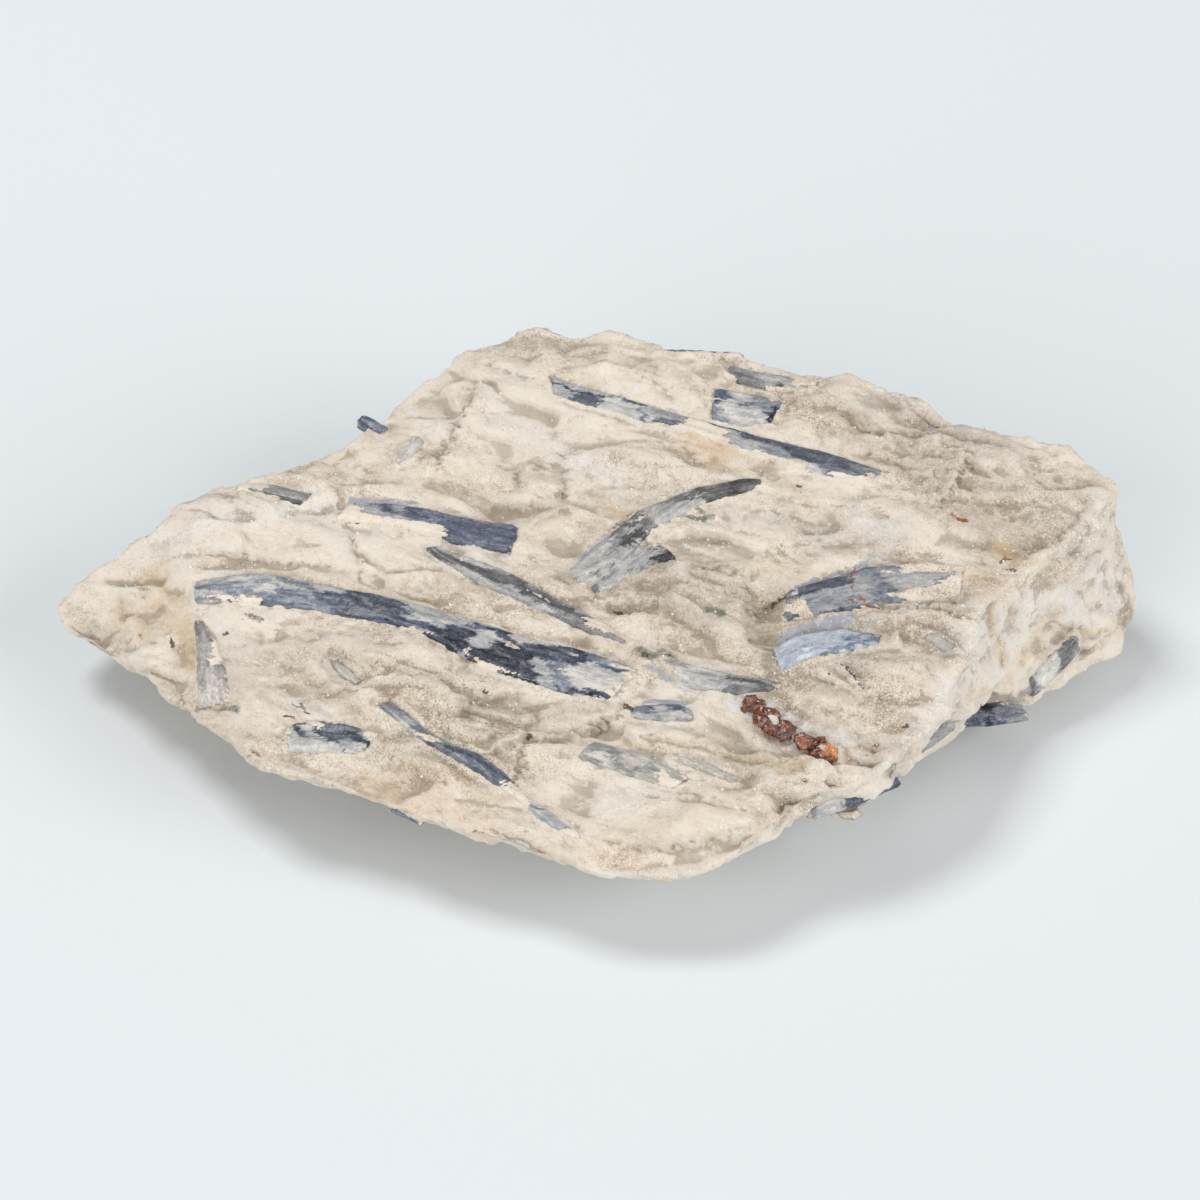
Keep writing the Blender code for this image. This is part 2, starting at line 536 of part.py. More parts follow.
def blade_sections(rows, thick, step, skew, rng):
    """Outline of a blade at each section: a tabular crystal with bevelled edges and a step."""
    at, depth = step
    sections = []
    for k, (centre, along, across, out, w) in enumerate(rows):
        end = skew[0] if k == 0 else skew[1] if k == len(rows) - 1 else 0.0
        inward = 1.0 if k == 0 else -1.0
        edge = min(0.13 * w, 0.7)
        fall = depth * (0.55 + 0.45 * math.sin(1.7 * k + 4.0 * at))
        width = w * (1.0 + rng.uniform(-0.03, 0.03))
        lift = rng.uniform(-0.12, 0.12)
        shape = [(-0.5 * width, -0.3 * thick), (-0.5 * width + edge, lift),
                 (at * width, lift), (at * width + 0.1, lift - fall),
                 (0.5 * width - edge, lift - fall), (0.5 * width, -0.3 * thick - 0.5 * fall),
                 (0.4 * width, -thick), (-0.4 * width, -thick)]
        ring = []
        for s, n in shape:
            shift = end * s
            if end:
                shift += inward * rng.uniform(0.0, 0.07 * min(w, 6.0))
            ring.append(centre + along * shift + across * s + out * n)
        sections.append(ring)
    return sections


def cutter_sections(rows, thick, skew):
    """Outline of a blade's pocket at each section: clear of the blade and open outwards."""
    sections = []
    for k, (centre, along, across, out, w) in enumerate(rows):
        end = skew[0] if k == 0 else skew[1] if k == len(rows) - 1 else 0.0
        push = -GAP - 0.05 if k == 0 else GAP + 0.05 if k == len(rows) - 1 else 0.0
        half = 0.515 * w + GAP
        shape = [(-half, CUT_ABOVE), (half, CUT_ABOVE), (half, -0.45 * thick),
                 (0.41 * w + GAP, -thick - GAP), (-0.41 * w - GAP, -thick - GAP),
                 (-half, -0.45 * thick)]
        sections.append([centre + along * (end * s + push) + across * s + out * n
                         for s, n in shape])
    return sections


def garnet_lump(grains, rng, grow=0.0, raised=0.0):
    """Hulls of faceted grains, one mesh per grain."""
    lumps = []
    for x, y, along, across, up, turn in grains:
        z = base_height(x, y) + 0.1
        angle = math.radians(turn)
        points = []
        for ring, (level, reach, count) in enumerate(((-0.9, 0.45, 5), (-0.35, 0.95, 7),
                                                      (0.35, 0.93, 7), (0.85, 0.42, 5))):
            for k in range(count):
                a = math.tau * (k + 0.5 * ring + rng.uniform(-0.12, 0.12)) / count
                r = reach * rng.uniform(0.93, 1.05)
                px = math.cos(a) * r * (along + grow)
                py = math.sin(a) * r * (across + grow)
                pz = level * (up + grow) + (raised if level > 0.5 else 0.0)
                points.append((x + px * math.cos(angle) - py * math.sin(angle),
                               y + px * math.sin(angle) + py * math.cos(angle), z + pz))
        grid = bmesh.new()
        for p in points:
            grid.verts.new(Vector(p) * MM)
        hull = bmesh.ops.convex_hull(grid, input=grid.verts)
        spare = {v for v in hull["geom_interior"] if isinstance(v, bmesh.types.BMVert)}
        bmesh.ops.delete(grid, geom=list(spare), context="VERTS")
        bmesh.ops.recalc_face_normals(grid, faces=grid.faces)
        mesh = bpy.data.meshes.new("lump")
        grid.to_mesh(mesh)
        grid.free()
        lumps.append(mesh)
    return lumps


def combine(item, other_mesh, operation):
    """Join, cut or trim a solid with another and keep the result as its mesh."""
    other = bpy.data.objects.new("tool", other_mesh)
    other.hide_render = True
    other.display_type = "WIRE"
    bpy.context.collection.objects.link(other)
    modifier = item.modifiers.new("bool", "BOOLEAN")
    modifier.operation = operation
    modifier.solver = "EXACT"
    modifier.object = other
    bpy.context.view_layer.update()
    depsgraph = bpy.context.evaluated_depsgraph_get()
    result = bpy.data.meshes.new_from_object(item.evaluated_get(depsgraph))
    item.modifiers.remove(modifier)
    old = item.data
    surface = old.materials[0]
    item.data = result
    result.materials.clear()
    result.materials.append(surface)
    bpy.data.meshes.remove(old)
    bpy.data.objects.remove(other, do_unlink=True)


def keep_largest(item):
    """Drop the loose scraps a cut can leave, weld what it split and face the skin outwards."""
    grid = bmesh.new()
    grid.from_mesh(item.data)
    bmesh.ops.remove_doubles(grid, verts=grid.verts, dist=0.00001)
    bmesh.ops.dissolve_degenerate(grid, edges=grid.edges, dist=0.000005)
    bmesh.ops.triangulate(grid, faces=grid.faces)
    todo, groups = set(grid.verts), []
    while todo:
        stack, group = [todo.pop()], set()
        while stack:
            vert = stack.pop()
            group.add(vert)
            for edge in vert.link_edges:
                other = edge.other_vert(vert)
                if other in todo:
                    todo.discard(other)
                    stack.append(other)
        groups.append(group)
    groups.sort(key=len)
    for group in groups[:-1]:
        bmesh.ops.delete(grid, geom=list(group), context="VERTS")
    bmesh.ops.recalc_face_normals(grid, faces=grid.faces)
    grid.to_mesh(item.data)
    grid.free()


def centre_all(items):
    """Put the middle of the whole, seen from above, on the origin and its lowest point at 0."""
    corners = [v.co for item in items for v in item.data.vertices]
    low = Vector([min(c[k] for c in corners) for k in range(3)])
    high = Vector([max(c[k] for c in corners) for k in range(3)])
    shift = Vector((-(low.x + high.x) / 2, -(low.y + high.y) / 2, -low.z))
    for item in items:
        for vert in item.data.vertices:
            vert.co += shift
        item.data.update()
    print("moved by", [round(v / MM, 3) for v in shift], "size", [round(v / MM, 2) for v in high - low])


def main():
    """Build the slab, every blade and both garnet clusters."""
    clear_scene()
    random.seed(SEED)
    noise.seed_set(SEED)
    rng = random.Random(SEED + 1)
    matrix = new_object("matrix", slab_mesh(), QUARTZ, 0.75)
    items = [matrix]
    cutters = {}
    for name, blade in TOP_BLADES.items():
        rows = stations_of(blade)
        host = GROWN_TOGETHER.get(name)
        if host:
            rows = [(row[0] - row[3] * JOINED_LOWER, *row[1:]) for row in rows]
        mesh = loft(name, blade_sections(rows, blade.thick, blade.step, blade.skew, rng))
        if host:
            combine(bpy.data.objects[host], mesh, "UNION")
            keep_largest(bpy.data.objects[host])
        else:
            items.append(new_object(name, mesh, blade.colour, 0.35))
        cutters[name] = loft(name, cutter_sections(rows, blade.thick, blade.skew))
    for name, blade in SIDE_BLADES.items():
        rows = side_stations(blade)
        mesh = loft(name, blade_sections(rows, blade.thick, (0.1, 0.3), blade.skew, rng))
        items.append(new_object(name, mesh, blade.colour, 0.35))
        cutters[name] = loft(name, cutter_sections(rows, blade.thick, blade.skew))
    for name, grains in GARNETS.items():
        lumps = garnet_lump(grains, random.Random(SEED + 2))
        item = new_object(name, lumps[0], GARNET, 0.25)
        for lump in lumps[1:]:
            combine(item, lump, "UNION")
        keep_largest(item)
        items.append(item)
        for lump in garnet_lump(grains, random.Random(SEED + 2), GAP + 0.05, CUT_ABOVE):
            combine(matrix, lump, "DIFFERENCE")
    for cutter in cutters.values():
        combine(matrix, cutter, "DIFFERENCE")
    keep_largest(matrix)
    centre_all(items)


main()
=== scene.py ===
"""Looks of a kyanite blade cluster: kyanite blades and garnet in a slab of massive quartz.

Lengths are millimetres unless a name ends in _m; Blender and the CAD frame use metres.
"""
from __future__ import annotations

import logging
import math
from dataclasses import dataclass, field
from enum import Enum
from typing import Any, Sequence

import bmesh
import bpy
import numpy as np
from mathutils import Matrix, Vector
from mathutils.bvhtree import BVHTree


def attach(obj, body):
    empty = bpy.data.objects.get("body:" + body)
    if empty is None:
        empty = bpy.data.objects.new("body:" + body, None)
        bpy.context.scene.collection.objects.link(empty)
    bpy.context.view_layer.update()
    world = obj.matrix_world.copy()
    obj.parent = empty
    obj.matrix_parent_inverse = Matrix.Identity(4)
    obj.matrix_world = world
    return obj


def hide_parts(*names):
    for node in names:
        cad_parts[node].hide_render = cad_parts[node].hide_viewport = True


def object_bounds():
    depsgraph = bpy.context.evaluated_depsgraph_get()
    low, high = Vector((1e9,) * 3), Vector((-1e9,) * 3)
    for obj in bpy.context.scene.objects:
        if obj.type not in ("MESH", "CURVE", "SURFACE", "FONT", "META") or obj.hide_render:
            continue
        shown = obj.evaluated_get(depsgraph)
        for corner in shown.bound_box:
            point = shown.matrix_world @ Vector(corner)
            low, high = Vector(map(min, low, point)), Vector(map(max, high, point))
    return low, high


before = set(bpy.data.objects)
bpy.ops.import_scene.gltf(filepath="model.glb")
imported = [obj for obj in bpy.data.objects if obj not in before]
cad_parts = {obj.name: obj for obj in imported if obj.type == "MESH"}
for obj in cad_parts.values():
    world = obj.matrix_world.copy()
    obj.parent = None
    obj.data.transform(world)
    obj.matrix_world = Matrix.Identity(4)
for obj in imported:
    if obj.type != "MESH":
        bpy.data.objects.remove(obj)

LOG = logging.getLogger("cluster")
CAD_BOX = [list(corner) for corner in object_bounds()]
MM = 0.001
GRAIN_TURN = math.radians(20.0)
QUARTZ = -1.0

Colour = tuple[float, float, float]
Array = np.ndarray


class Tint(Enum):
    """Colour families of the kyanite, from the darkest tone to the palest."""

    NAVY = ((0.005, 0.007, 0.013), (0.085, 0.104, 0.160), (0.265, 0.275, 0.295), (0.45, 0.44, 0.42),
            (0.66, 0.62, 0.565))
    BLUE = ((0.014, 0.018, 0.028), (0.092, 0.107, 0.145), (0.270, 0.282, 0.305), (0.45, 0.445, 0.435),
            (0.66, 0.63, 0.58))
    SKY = ((0.030, 0.036, 0.050), (0.150, 0.175, 0.230), (0.340, 0.385, 0.455), (0.53, 0.58, 0.66),
           (0.77, 0.79, 0.81))
    SLATE = ((0.015, 0.015, 0.015), (0.110, 0.108, 0.108), (0.290, 0.288, 0.285), (0.50, 0.485, 0.46),
             (0.69, 0.65, 0.59))
    PALE = ((0.050, 0.050, 0.048), (0.170, 0.165, 0.155), (0.340, 0.325, 0.300), (0.50, 0.475, 0.43),
            (0.69, 0.64, 0.57))
    MOSS = ((0.040, 0.043, 0.038), (0.155, 0.160, 0.143), (0.320, 0.320, 0.292), (0.50, 0.48, 0.43),
            (0.69, 0.64, 0.56))

    @property
    def finish(self) -> str:
        """Name of the tint's material."""
        return "kyanite_" + self.name.lower()


class Wire:
    """A value in a material that takes part in Python arithmetic."""

    def __init__(self, book: "Surface", socket: bpy.types.NodeSocket) -> None:
        """Keep the material's builder and the socket the value comes from."""
        self.book = book
        self.socket = socket

    def _math(self, operation: str, a: Any, b: Any) -> "Wire":
        """Add one Math node.

        Args:
            operation: the Math node's operation.
            a: first value.
            b: second value.

        Returns:
            The node's result.
        """
        return self.book.node("ShaderNodeMath", {"operation": operation}, {0: a, 1: b})[0]

    def __add__(self, other: Any) -> "Wire":
        """Return self + other."""
        return self._math("ADD", self, other)

    def __radd__(self, other: Any) -> "Wire":
        """Return other + self."""
        return self._math("ADD", other, self)

    def __sub__(self, other: Any) -> "Wire":
        """Return self - other."""
        return self._math("SUBTRACT", self, other)

    def __rsub__(self, other: Any) -> "Wire":
        """Return other - self."""
        return self._math("SUBTRACT", other, self)

    def __mul__(self, other: Any) -> "Wire":
        """Return self * other."""
        return self._math("MULTIPLY", self, other)

    def __rmul__(self, other: Any) -> "Wire":
        """Return other * self."""
        return self._math("MULTIPLY", other, self)

    def between(self, low: float, high: float, to_low: float = 0.0, to_high: float = 1.0) -> "Wire":
        """Ease from to_low to to_high while the value goes from low to high.

        Args:
            low: value where the change starts.
            high: value where it ends; it may lie below low.
            to_low: result at low.
            to_high: result at high.

        Returns:
            The eased value.
        """
        settings = {"interpolation_type": "SMOOTHSTEP", "clamp": True}
        if low > high:
            low, high, to_low, to_high = high, low, to_high, to_low
        return self.book.node("ShaderNodeMapRange", settings,
                              {0: self, 1: low, 2: high, 3: to_low, 4: to_high})[0]


class Surface:
    """Builds one material's nodes."""

    def __init__(self, name: str) -> None:
        """Start a material that holds a Principled shader and an output."""
        self.material = bpy.data.materials.new(name)
        self.material.use_nodes = True
        self.tree = self.material.node_tree
        self.shader = self.tree.nodes["Principled BSDF"]

    def node(self, kind: str, settings: dict[str, Any] | None = None,
             inputs: dict[Any, Any] | None = None) -> list[Wire]:
        """Add any node.

        Args:
            kind: the node's type.
            settings: properties set first; "stops" sets a ramp's stops.
            inputs: values or wires, by socket name or number.

        Returns:
            The node's outputs that are in use.
        """
        made = self.tree.nodes.new(kind)
        for key, value in (settings or {}).items():
            if key == "stops":
                ramp = made.color_ramp
                while len(ramp.elements) < len(value):
                    ramp.elements.new(0.5)
                for stop, (place, colour) in zip(ramp.elements, value):
                    stop.position = place
                    stop.color = (*colour, 1.0)
            else:
                setattr(made, key, value)
        for key, value in (inputs or {}).items():
            self.plug(made.inputs[key], value)
        return [Wire(self, socket) for socket in made.outputs if socket.enabled]

    def plug(self, socket: bpy.types.NodeSocket, value: Any) -> None:
        """Link a wire to a socket, or set the socket's own value.

        Args:
            socket: the input to feed.
            value: a wire, a number, or a tuple; a colour may leave out its alpha.
        """
        if isinstance(value, Wire):
            self.tree.links.new(value.socket, socket)
        elif hasattr(value, "__len__") and len(value) == 3 and len(socket.default_value) == 4:
            socket.default_value = (*value, 1.0)
        else:
            socket.default_value = value

    def set(self, **values: Any) -> None:
        """Set or feed the Principled shader's sockets; an underscore stands for a space."""
        for key, value in values.items():
            self.plug(self.shader.inputs[key.replace("_", " ")], value)

    def attribute(self, name: str) -> Wire:
        """Read a number kept on the mesh."""
        return self.node("ShaderNodeAttribute", {"attribute_name": name})[2]

    def vector(self, operation: str, inputs: dict[int, Any]) -> Wire:
        """Add one Vector Math node."""
        return self.node("ShaderNodeVectorMath", {"operation": operation}, inputs)[0]

    def place(self, scale: Sequence[float] = (1.0, 1.0, 1.0), turn: float = 0.0,
              source: Wire | None = None) -> Wire:
        """A point in millimetres, turned about Z and scaled.

        Args:
            scale: scale along each turned axis.
            turn: turn about Z in radians.
            source: a vector in millimetres instead of the object's own place.

        Returns:
            The point.
        """
        unit = 1.0 if source is not None else 1.0 / MM
        start = source if source is not None else self.node("ShaderNodeTexCoord")[3]
        turned = self.node("ShaderNodeMapping", {"vector_type": "POINT"},
                           {0: start, 2: (0.0, 0.0, turn), 3: (unit, unit, unit)})[0]
        return self.vector("MULTIPLY", {0: turned, 1: tuple(scale)})

    def noise(self, where: Wire, scale: float = 1.0, detail: float = 3.0, rough: float = 0.55,
              warp: float = 0.0) -> Wire:
        """Cloudy noise about 0.5.

        Args:
            where: the point to read it at.
            scale: how many features to a millimetre.
            detail: octaves.
            rough: share that each finer octave keeps.
            warp: how far the pattern is pushed about.

        Returns:
            The value.
        """
        return self.node("ShaderNodeTexNoise", {"noise_dimensions": "3D"},
                         {"Vector": where, "Scale": scale, "Detail": detail,
                          "Roughness": rough, "Distortion": warp})[0]

    def cells(self, where: Wire, scale: float, metric: str = "EUCLIDEAN") -> tuple[Wire, Wire]:
        """Distance to the nearest cell's middle and that cell's own random colour."""
        found = self.node("ShaderNodeTexVoronoi", {"feature": "F1", "distance": metric},
                          {"Vector": where, "Scale": scale, "Randomness": 1.0})
        return found[0], found[1]

    def chance(self, where: Wire, scale: float, metric: str = "EUCLIDEAN") -> tuple[Wire, Wire]:
        """Distance to the nearest cell's middle and that cell's own random number."""
        near, own = self.cells(where, scale, metric)
        return near, self.node("ShaderNodeSeparateColor", {}, {0: own})[0]

    def mix(self, share: Any, a: Any, b: Any) -> Wire:
        """Mix two colours.

        Args:
            share: how much of b.
            a: first colour.
            b: second colour.

        Returns:
            The colour.
        """
        return self.node("ShaderNodeMix", {"data_type": "RGBA"}, {0: share, 6: a, 7: b})[0]

    def ramp(self, value: Wire, stops: Sequence[tuple[float, Colour]]) -> Wire:
        """Colour by value."""
        return self.node("ShaderNodeValToRGB", {"stops": list(stops)}, {0: value})[0]

    def facets(self, where: Wire, scale: float, tilt: float, start: Wire | None = None) -> Wire:
        """The surface's direction, tipped at random in each cell as broken grains are.

        Args:
            where: the point to read the cells at.
            scale: cells to a millimetre.
            tilt: how far they tip.
            start: direction to tip, or the surface's own.

        Returns:
            The direction.
        """
        own = self.cells(where, scale)[1]
        tip = self.vector("SUBTRACT", {0: own, 1: (0.5, 0.5, 0.5)})
        tip = self.vector("SCALE", {0: tip, 3: tilt})
        facing = start if start is not None else self.node("ShaderNodeNewGeometry")[1]
        return self.vector("NORMALIZE", {0: self.vector("ADD", {0: facing, 1: tip})})

    def bump(self, height: Wire, depth: float, strength: float = 1.0,
             facing: Wire | None = None) -> Wire:
        """Turn a height of 0 to 1 into a direction.

        Args:
            height: the height.
            depth: what a height of 1 measures, in millimetres.
            strength: share of the effect.
            facing: direction to start from.

        Returns:
            The direction.
        """
        inputs: dict[Any, Any] = {"Height": height, "Distance": depth * MM, "Strength": strength}
        if facing is not None:
            inputs["Normal"] = facing
        return self.node("ShaderNodeBump", {}, inputs)[0]


@dataclass(frozen=True)
class QuartzFinish:
    """Broken massive quartz: cream, sugary, stained in places."""

    shade: Colour = (0.40, 0.315, 0.23)
    body: Colour = (0.785, 0.66, 0.53)
    light: Colour = (0.94, 0.85, 0.735)
    # white of white quartz stains and glints; the white stains also paint light onto the right wall and
    # onto faces turned to the front
    white: Colour = (0.98, 0.96, 0.93)
    ochre: Colour = (0.74, 0.52, 0.28)
    # grey of grey quartz; the grey stains also lay broad painted shade over parts of the top
    grey: Colour = (0.50, 0.44, 0.375)
    rust: Colour = (0.30, 0.075, 0.02)
    moss: Colour = (0.17, 0.185, 0.125)
    # brown of real dirt stains and specks; also painted shade in hollows, pockets and under ledges
    dirt: Colour = (0.33, 0.255, 0.175)
    # near black of dark specks and cracks; the dark stains also paint shadow into cavities of the side
    # wall
    dark: Colour = (0.055, 0.045, 0.038)
    blue: Colour = (0.42, 0.45, 0.51)
    level: float = 0.64
    broad_swing: float = 1.9
    middle_swing: float = 1.7
    fine_swing: float = 1.9
    grain_swing: float = 2.7
    seam_depth: float = 0.38
    smooth_painted_light: float = 0.16
    smooth_calm: float = 0.45
    edges: tuple[tuple[str, float], ...] = (("grey", 0.55), ("white", 0.5), ("ochre", 0.6),
                                            ("dirt", 0.55), ("moss", 0.3), ("rust", 0.22))

    def colour(self, s: Surface) -> tuple[Wire, Wire]:
        """The clean quartz's colour and grain, for any material that shows quartz.

        Args:
            s: the material to add to.

        Returns:
            Colour and a grain value of 0 to 1.
        """
        along = s.place((0.4, 1.0, 1.0), GRAIN_TURN)
        plain = s.place()
        broad = s.noise(along, 0.06, 3.0, 0.6, 0.5)
        middle = s.noise(s.place((0.7, 1.0, 1.0), GRAIN_TURN), 0.28, 5.0, 0.7, 0.4)
        fine = s.noise(plain, 0.9, 5.0, 0.82, 0.5)
        grain = s.noise(plain, 3.2, 3.0, 0.85)
        zone = s.noise(plain, 0.06, 3.0, 0.6).between(0.42, 0.62, 0.35, 1.3)
        zone = zone + s.attribute("coarse") * 0.8 - s.attribute("smooth") * 0.6
        seam = s.noise(along, 0.17, 4.0, 0.6, 1.2)
        seam = seam.between(0.486, 0.499) * seam.between(0.512, 0.499) * fine.between(0.42, 0.56)
        smooth = s.attribute("smooth")
        calm = 1.0 - smooth * self.smooth_calm
        large = (broad - 0.5) * self.broad_swing * calm + (middle - 0.5) * self.middle_swing * calm
        small = (fine - 0.5) * self.fine_swing + (grain - 0.5) * self.grain_swing
        # painted light: smooth zones, the right wall among them, are made lighter
        value = large - seam * self.seam_depth + small * zone + self.level + smooth * self.smooth_painted_light
        body = s.ramp(value, ((0.02, self.shade), (0.42, self.body), (0.80, self.light)))
        return body, grain

    def material(self) -> bpy.types.Material:
        """The material of the slab; the mesh carries the stains and "hollow", which gives painted shade
        in hollows and painted highlight on ridges.
        """
        s = Surface("quartz")
        body, grain = self.colour(s)
        plain = s.place()
        along = s.place((0.28, 1.0, 1.0), GRAIN_TURN)
        patch = s.noise(plain, 0.5, 5.0, 0.7, 0.6)
        speck = s.noise(plain, 1.9, 4.0, 0.72)
        streak = s.noise(along, 1.1, 4.0, 0.65, 0.4)
        ragged = (patch - 0.5) * 0.8 + (speck - 0.5) * 0.75
        for name, edge in self.edges:
            amount = s.attribute(name)
            share = (amount + ragged * amount.between(0.0, 0.3)).between(0.5 - edge, 0.5 + edge)
            body = s.mix(share * amount.between(0.0, 0.4) * 0.95, body, getattr(self, name))
        film = s.attribute("blue")
        share = (film + (streak - 0.5) * 1.1 + (speck - 0.5) * 0.4).between(0.25, 0.75)
        body = s.mix(share * film.between(0.0, 0.3) * 0.9, body, self.blue)
        # painted shade: hollows are darkened towards the dirt colour; painted highlight: ridges are
        # lightened towards the light colour
        hollow = s.attribute("hollow")
        body = s.mix((hollow + (speck - 0.5) * 0.6).between(0.12, 0.95) * 0.5, body, self.dirt)
        body = s.mix((0.0 - hollow).between(0.05, 0.8) * 0.3, body, self.light)
        near, sparkle = s.chance(plain, 1.9)
        bright = s.attribute("white").between(0.0, 0.4, 0.93, 0.72)
        glint = (sparkle - bright).between(0.0, 0.05) * near.between(0.45, 0.2)
        body = s.mix(glint * 0.75, body, self.white)
        fleck = s.noise(plain, 3.1, 2.0, 0.5)
        body = s.mix(fleck.between(0.33, 0.25) * 0.4, body, self.dirt)
        # dark stains: dark specks and cracks, and painted shadow in cavities of the side wall
        dark = s.attribute("dark")
        share = (dark + (speck - 0.5) * 0.5 * dark.between(0.0, 0.2)).between(0.3, 0.6)
        body = s.mix(share * 0.9, body, self.dark)
        height = streak * 0.35 + grain * 0.6 + speck * 0.65
        facing = s.facets(plain, 1.5, 0.40, s.facets(along, 0.55, 0.30))
        s.set(Base_Color=body, Roughness=sparkle.between(0.0, 1.0, 0.66, 0.36) + speck * 0.1,
              Normal=s.bump(height, 0.50, 1.0, facing), IOR=1.54,
              Subsurface_Weight=0.15, Subsurface_Radius=(0.004, 0.003, 0.002),
              Subsurface_Scale=0.5)
        return s.material


@dataclass(frozen=True)
class KyaniteFinish:
    """Kyanite of one colour family: streaked along its length, barred across, pearly."""

    tint: Tint
    quartz: QuartzFinish = QuartzFinish()
    hair_swing: float = 0.26
    streak_swing: float = 0.34
    cloud_swing: float = 1.3
    block_swing: float = 0.2
    bar_lift: float = 0.14
    spark_lift: float = 0.36
    relief: float = 0.30
    stops: tuple[float, ...] = (0.0, 0.24, 0.5, 0.75, 1.0)

    def material(self) -> bpy.types.Material:
        """The material of a blade; the mesh carries "grain", "tone", "veil" and "rust"."""
        s = Surface(self.tint.finish)
        local = s.node("ShaderNodeAttribute", {"attribute_name": "grain"})[1]
        hair = s.noise(s.place((0.22, 4.2, 2.6), 0.0, local), 1.0, 4.0, 0.65)
        streak = s.noise(s.place((0.16, 1.3, 0.9), 0.0, local), 1.0, 5.0, 0.68, 0.5)
        cloud = s.noise(s.place((0.50, 1.2, 1.1), 0.0, local), 1.0, 6.0, 0.76, 0.4)
        bars = s.noise(s.place((0.62, 0.08, 0.2), 0.35, local), 1.0, 2.0, 0.5)
        bar = bars.between(0.478, 0.494) * bars.between(0.510, 0.494)
        spark = s.noise(s.place((1.8, 3.2, 2.6), 0.0, local), 1.0, 3.0, 0.75)
        block = s.chance(s.place((0.34, 1.0, 0.8), 0.06, local), 1.0, "CHEBYCHEV")[1]
        given = s.attribute("tone")
        tone = (hair - 0.5) * self.hair_swing + (streak - 0.5) * self.streak_swing
        tone = tone + (cloud - 0.5) * self.cloud_swing + (block - 0.5) * self.block_swing
        tone = given + (tone + bar * self.bar_lift) * (given + 0.2)
        tone = tone + spark.between(0.60, 0.68) * self.spark_lift * (1.2 - given)
        body = s.ramp(tone, tuple(zip(self.stops, self.tint.value)))
        quartz, grain = self.quartz.colour(s)
        rust = s.attribute("rust") + (spark - 0.5) * 0.5
        body = s.mix(rust.between(0.3, 0.6) * 0.9, body, self.quartz.rust)
        torn = s.noise(s.place((1.1, 2.6, 2.4), 0.0, local), 1.0, 4.0, 0.72)
        cover = (s.attribute("veil") + (torn - 0.5) * 0.9 + (cloud - 0.5) * 0.5).between(0.42, 0.58)
        body = s.mix(cover * 0.94, body, s.mix(0.14, quartz, self.quartz.dirt))
        height = hair * 0.12 + streak * 0.16 + bar * 0.15 + spark * 0.3 + cover * (0.5 + grain * 0.7)
        s.set(Base_Color=body, Roughness=cover * 0.2 + cloud * 0.26 + 0.14,
              Normal=s.bump(height, self.relief, 0.8), IOR=1.65, Specular_IOR_Level=0.3,
              Coat_Weight=0.12, Coat_Roughness=0.12)
        return s.material


@dataclass(frozen=True)
class GarnetFinish:
    """Red-brown garnet, orange where it is thin."""

    deep: Colour = (0.022, 0.006, 0.004)
    red: Colour = (0.165, 0.034, 0.013)
    orange: Colour = (0.68, 0.24, 0.032)

    def material(self) -> bpy.types.Material:
        """The material of the garnet grains; the mesh carries "tone"."""
        s = Surface("garnet")
        plain = s.place()
        cloud = s.noise(plain, 0.9, 4.0, 0.65, 0.5)
        near, cell = s.chance(plain, 1.1)
        tone = s.attribute("tone") + (cloud - 0.5) * 0.8 + (cell - 0.5) * 0.4
        body = s.ramp(tone, ((0.12, self.deep), (0.45, self.red), (0.95, self.orange)))
        s.set(Base_Color=body, Roughness=cloud.between(0.3, 0.7, 0.10, 0.32),
              Normal=s.bump(near + cloud, 0.3, 0.8, s.facets(plain, 1.1, 0.5)), IOR=1.76,
              Coat_Weight=0.6, Coat_Roughness=0.06)
        return s.material


@dataclass(frozen=True)
class GrainFinish:
    """Small sugary grains of quartz."""

    name: str
    dark: Colour
    light: Colour
    rough: float

    def material(self) -> bpy.types.Material:
        """The material of the grains."""
        s = Surface(self.name)
        cloud = s.noise(s.place(), 0.9, 3.0, 0.6)
        cell = s.chance(s.place(), 0.8)[1]
        body = s.ramp(cloud * 0.6 + cell * 0.4, ((0.25, self.dark), (0.7, self.light)))
        rough = cell.between(0.0, 1.0, self.rough - 0.12, self.rough + 0.15)
        s.set(Base_Color=body, Roughness=rough, Normal=s.bump(cloud, 0.2, 0.5), IOR=1.54)
        return s.material


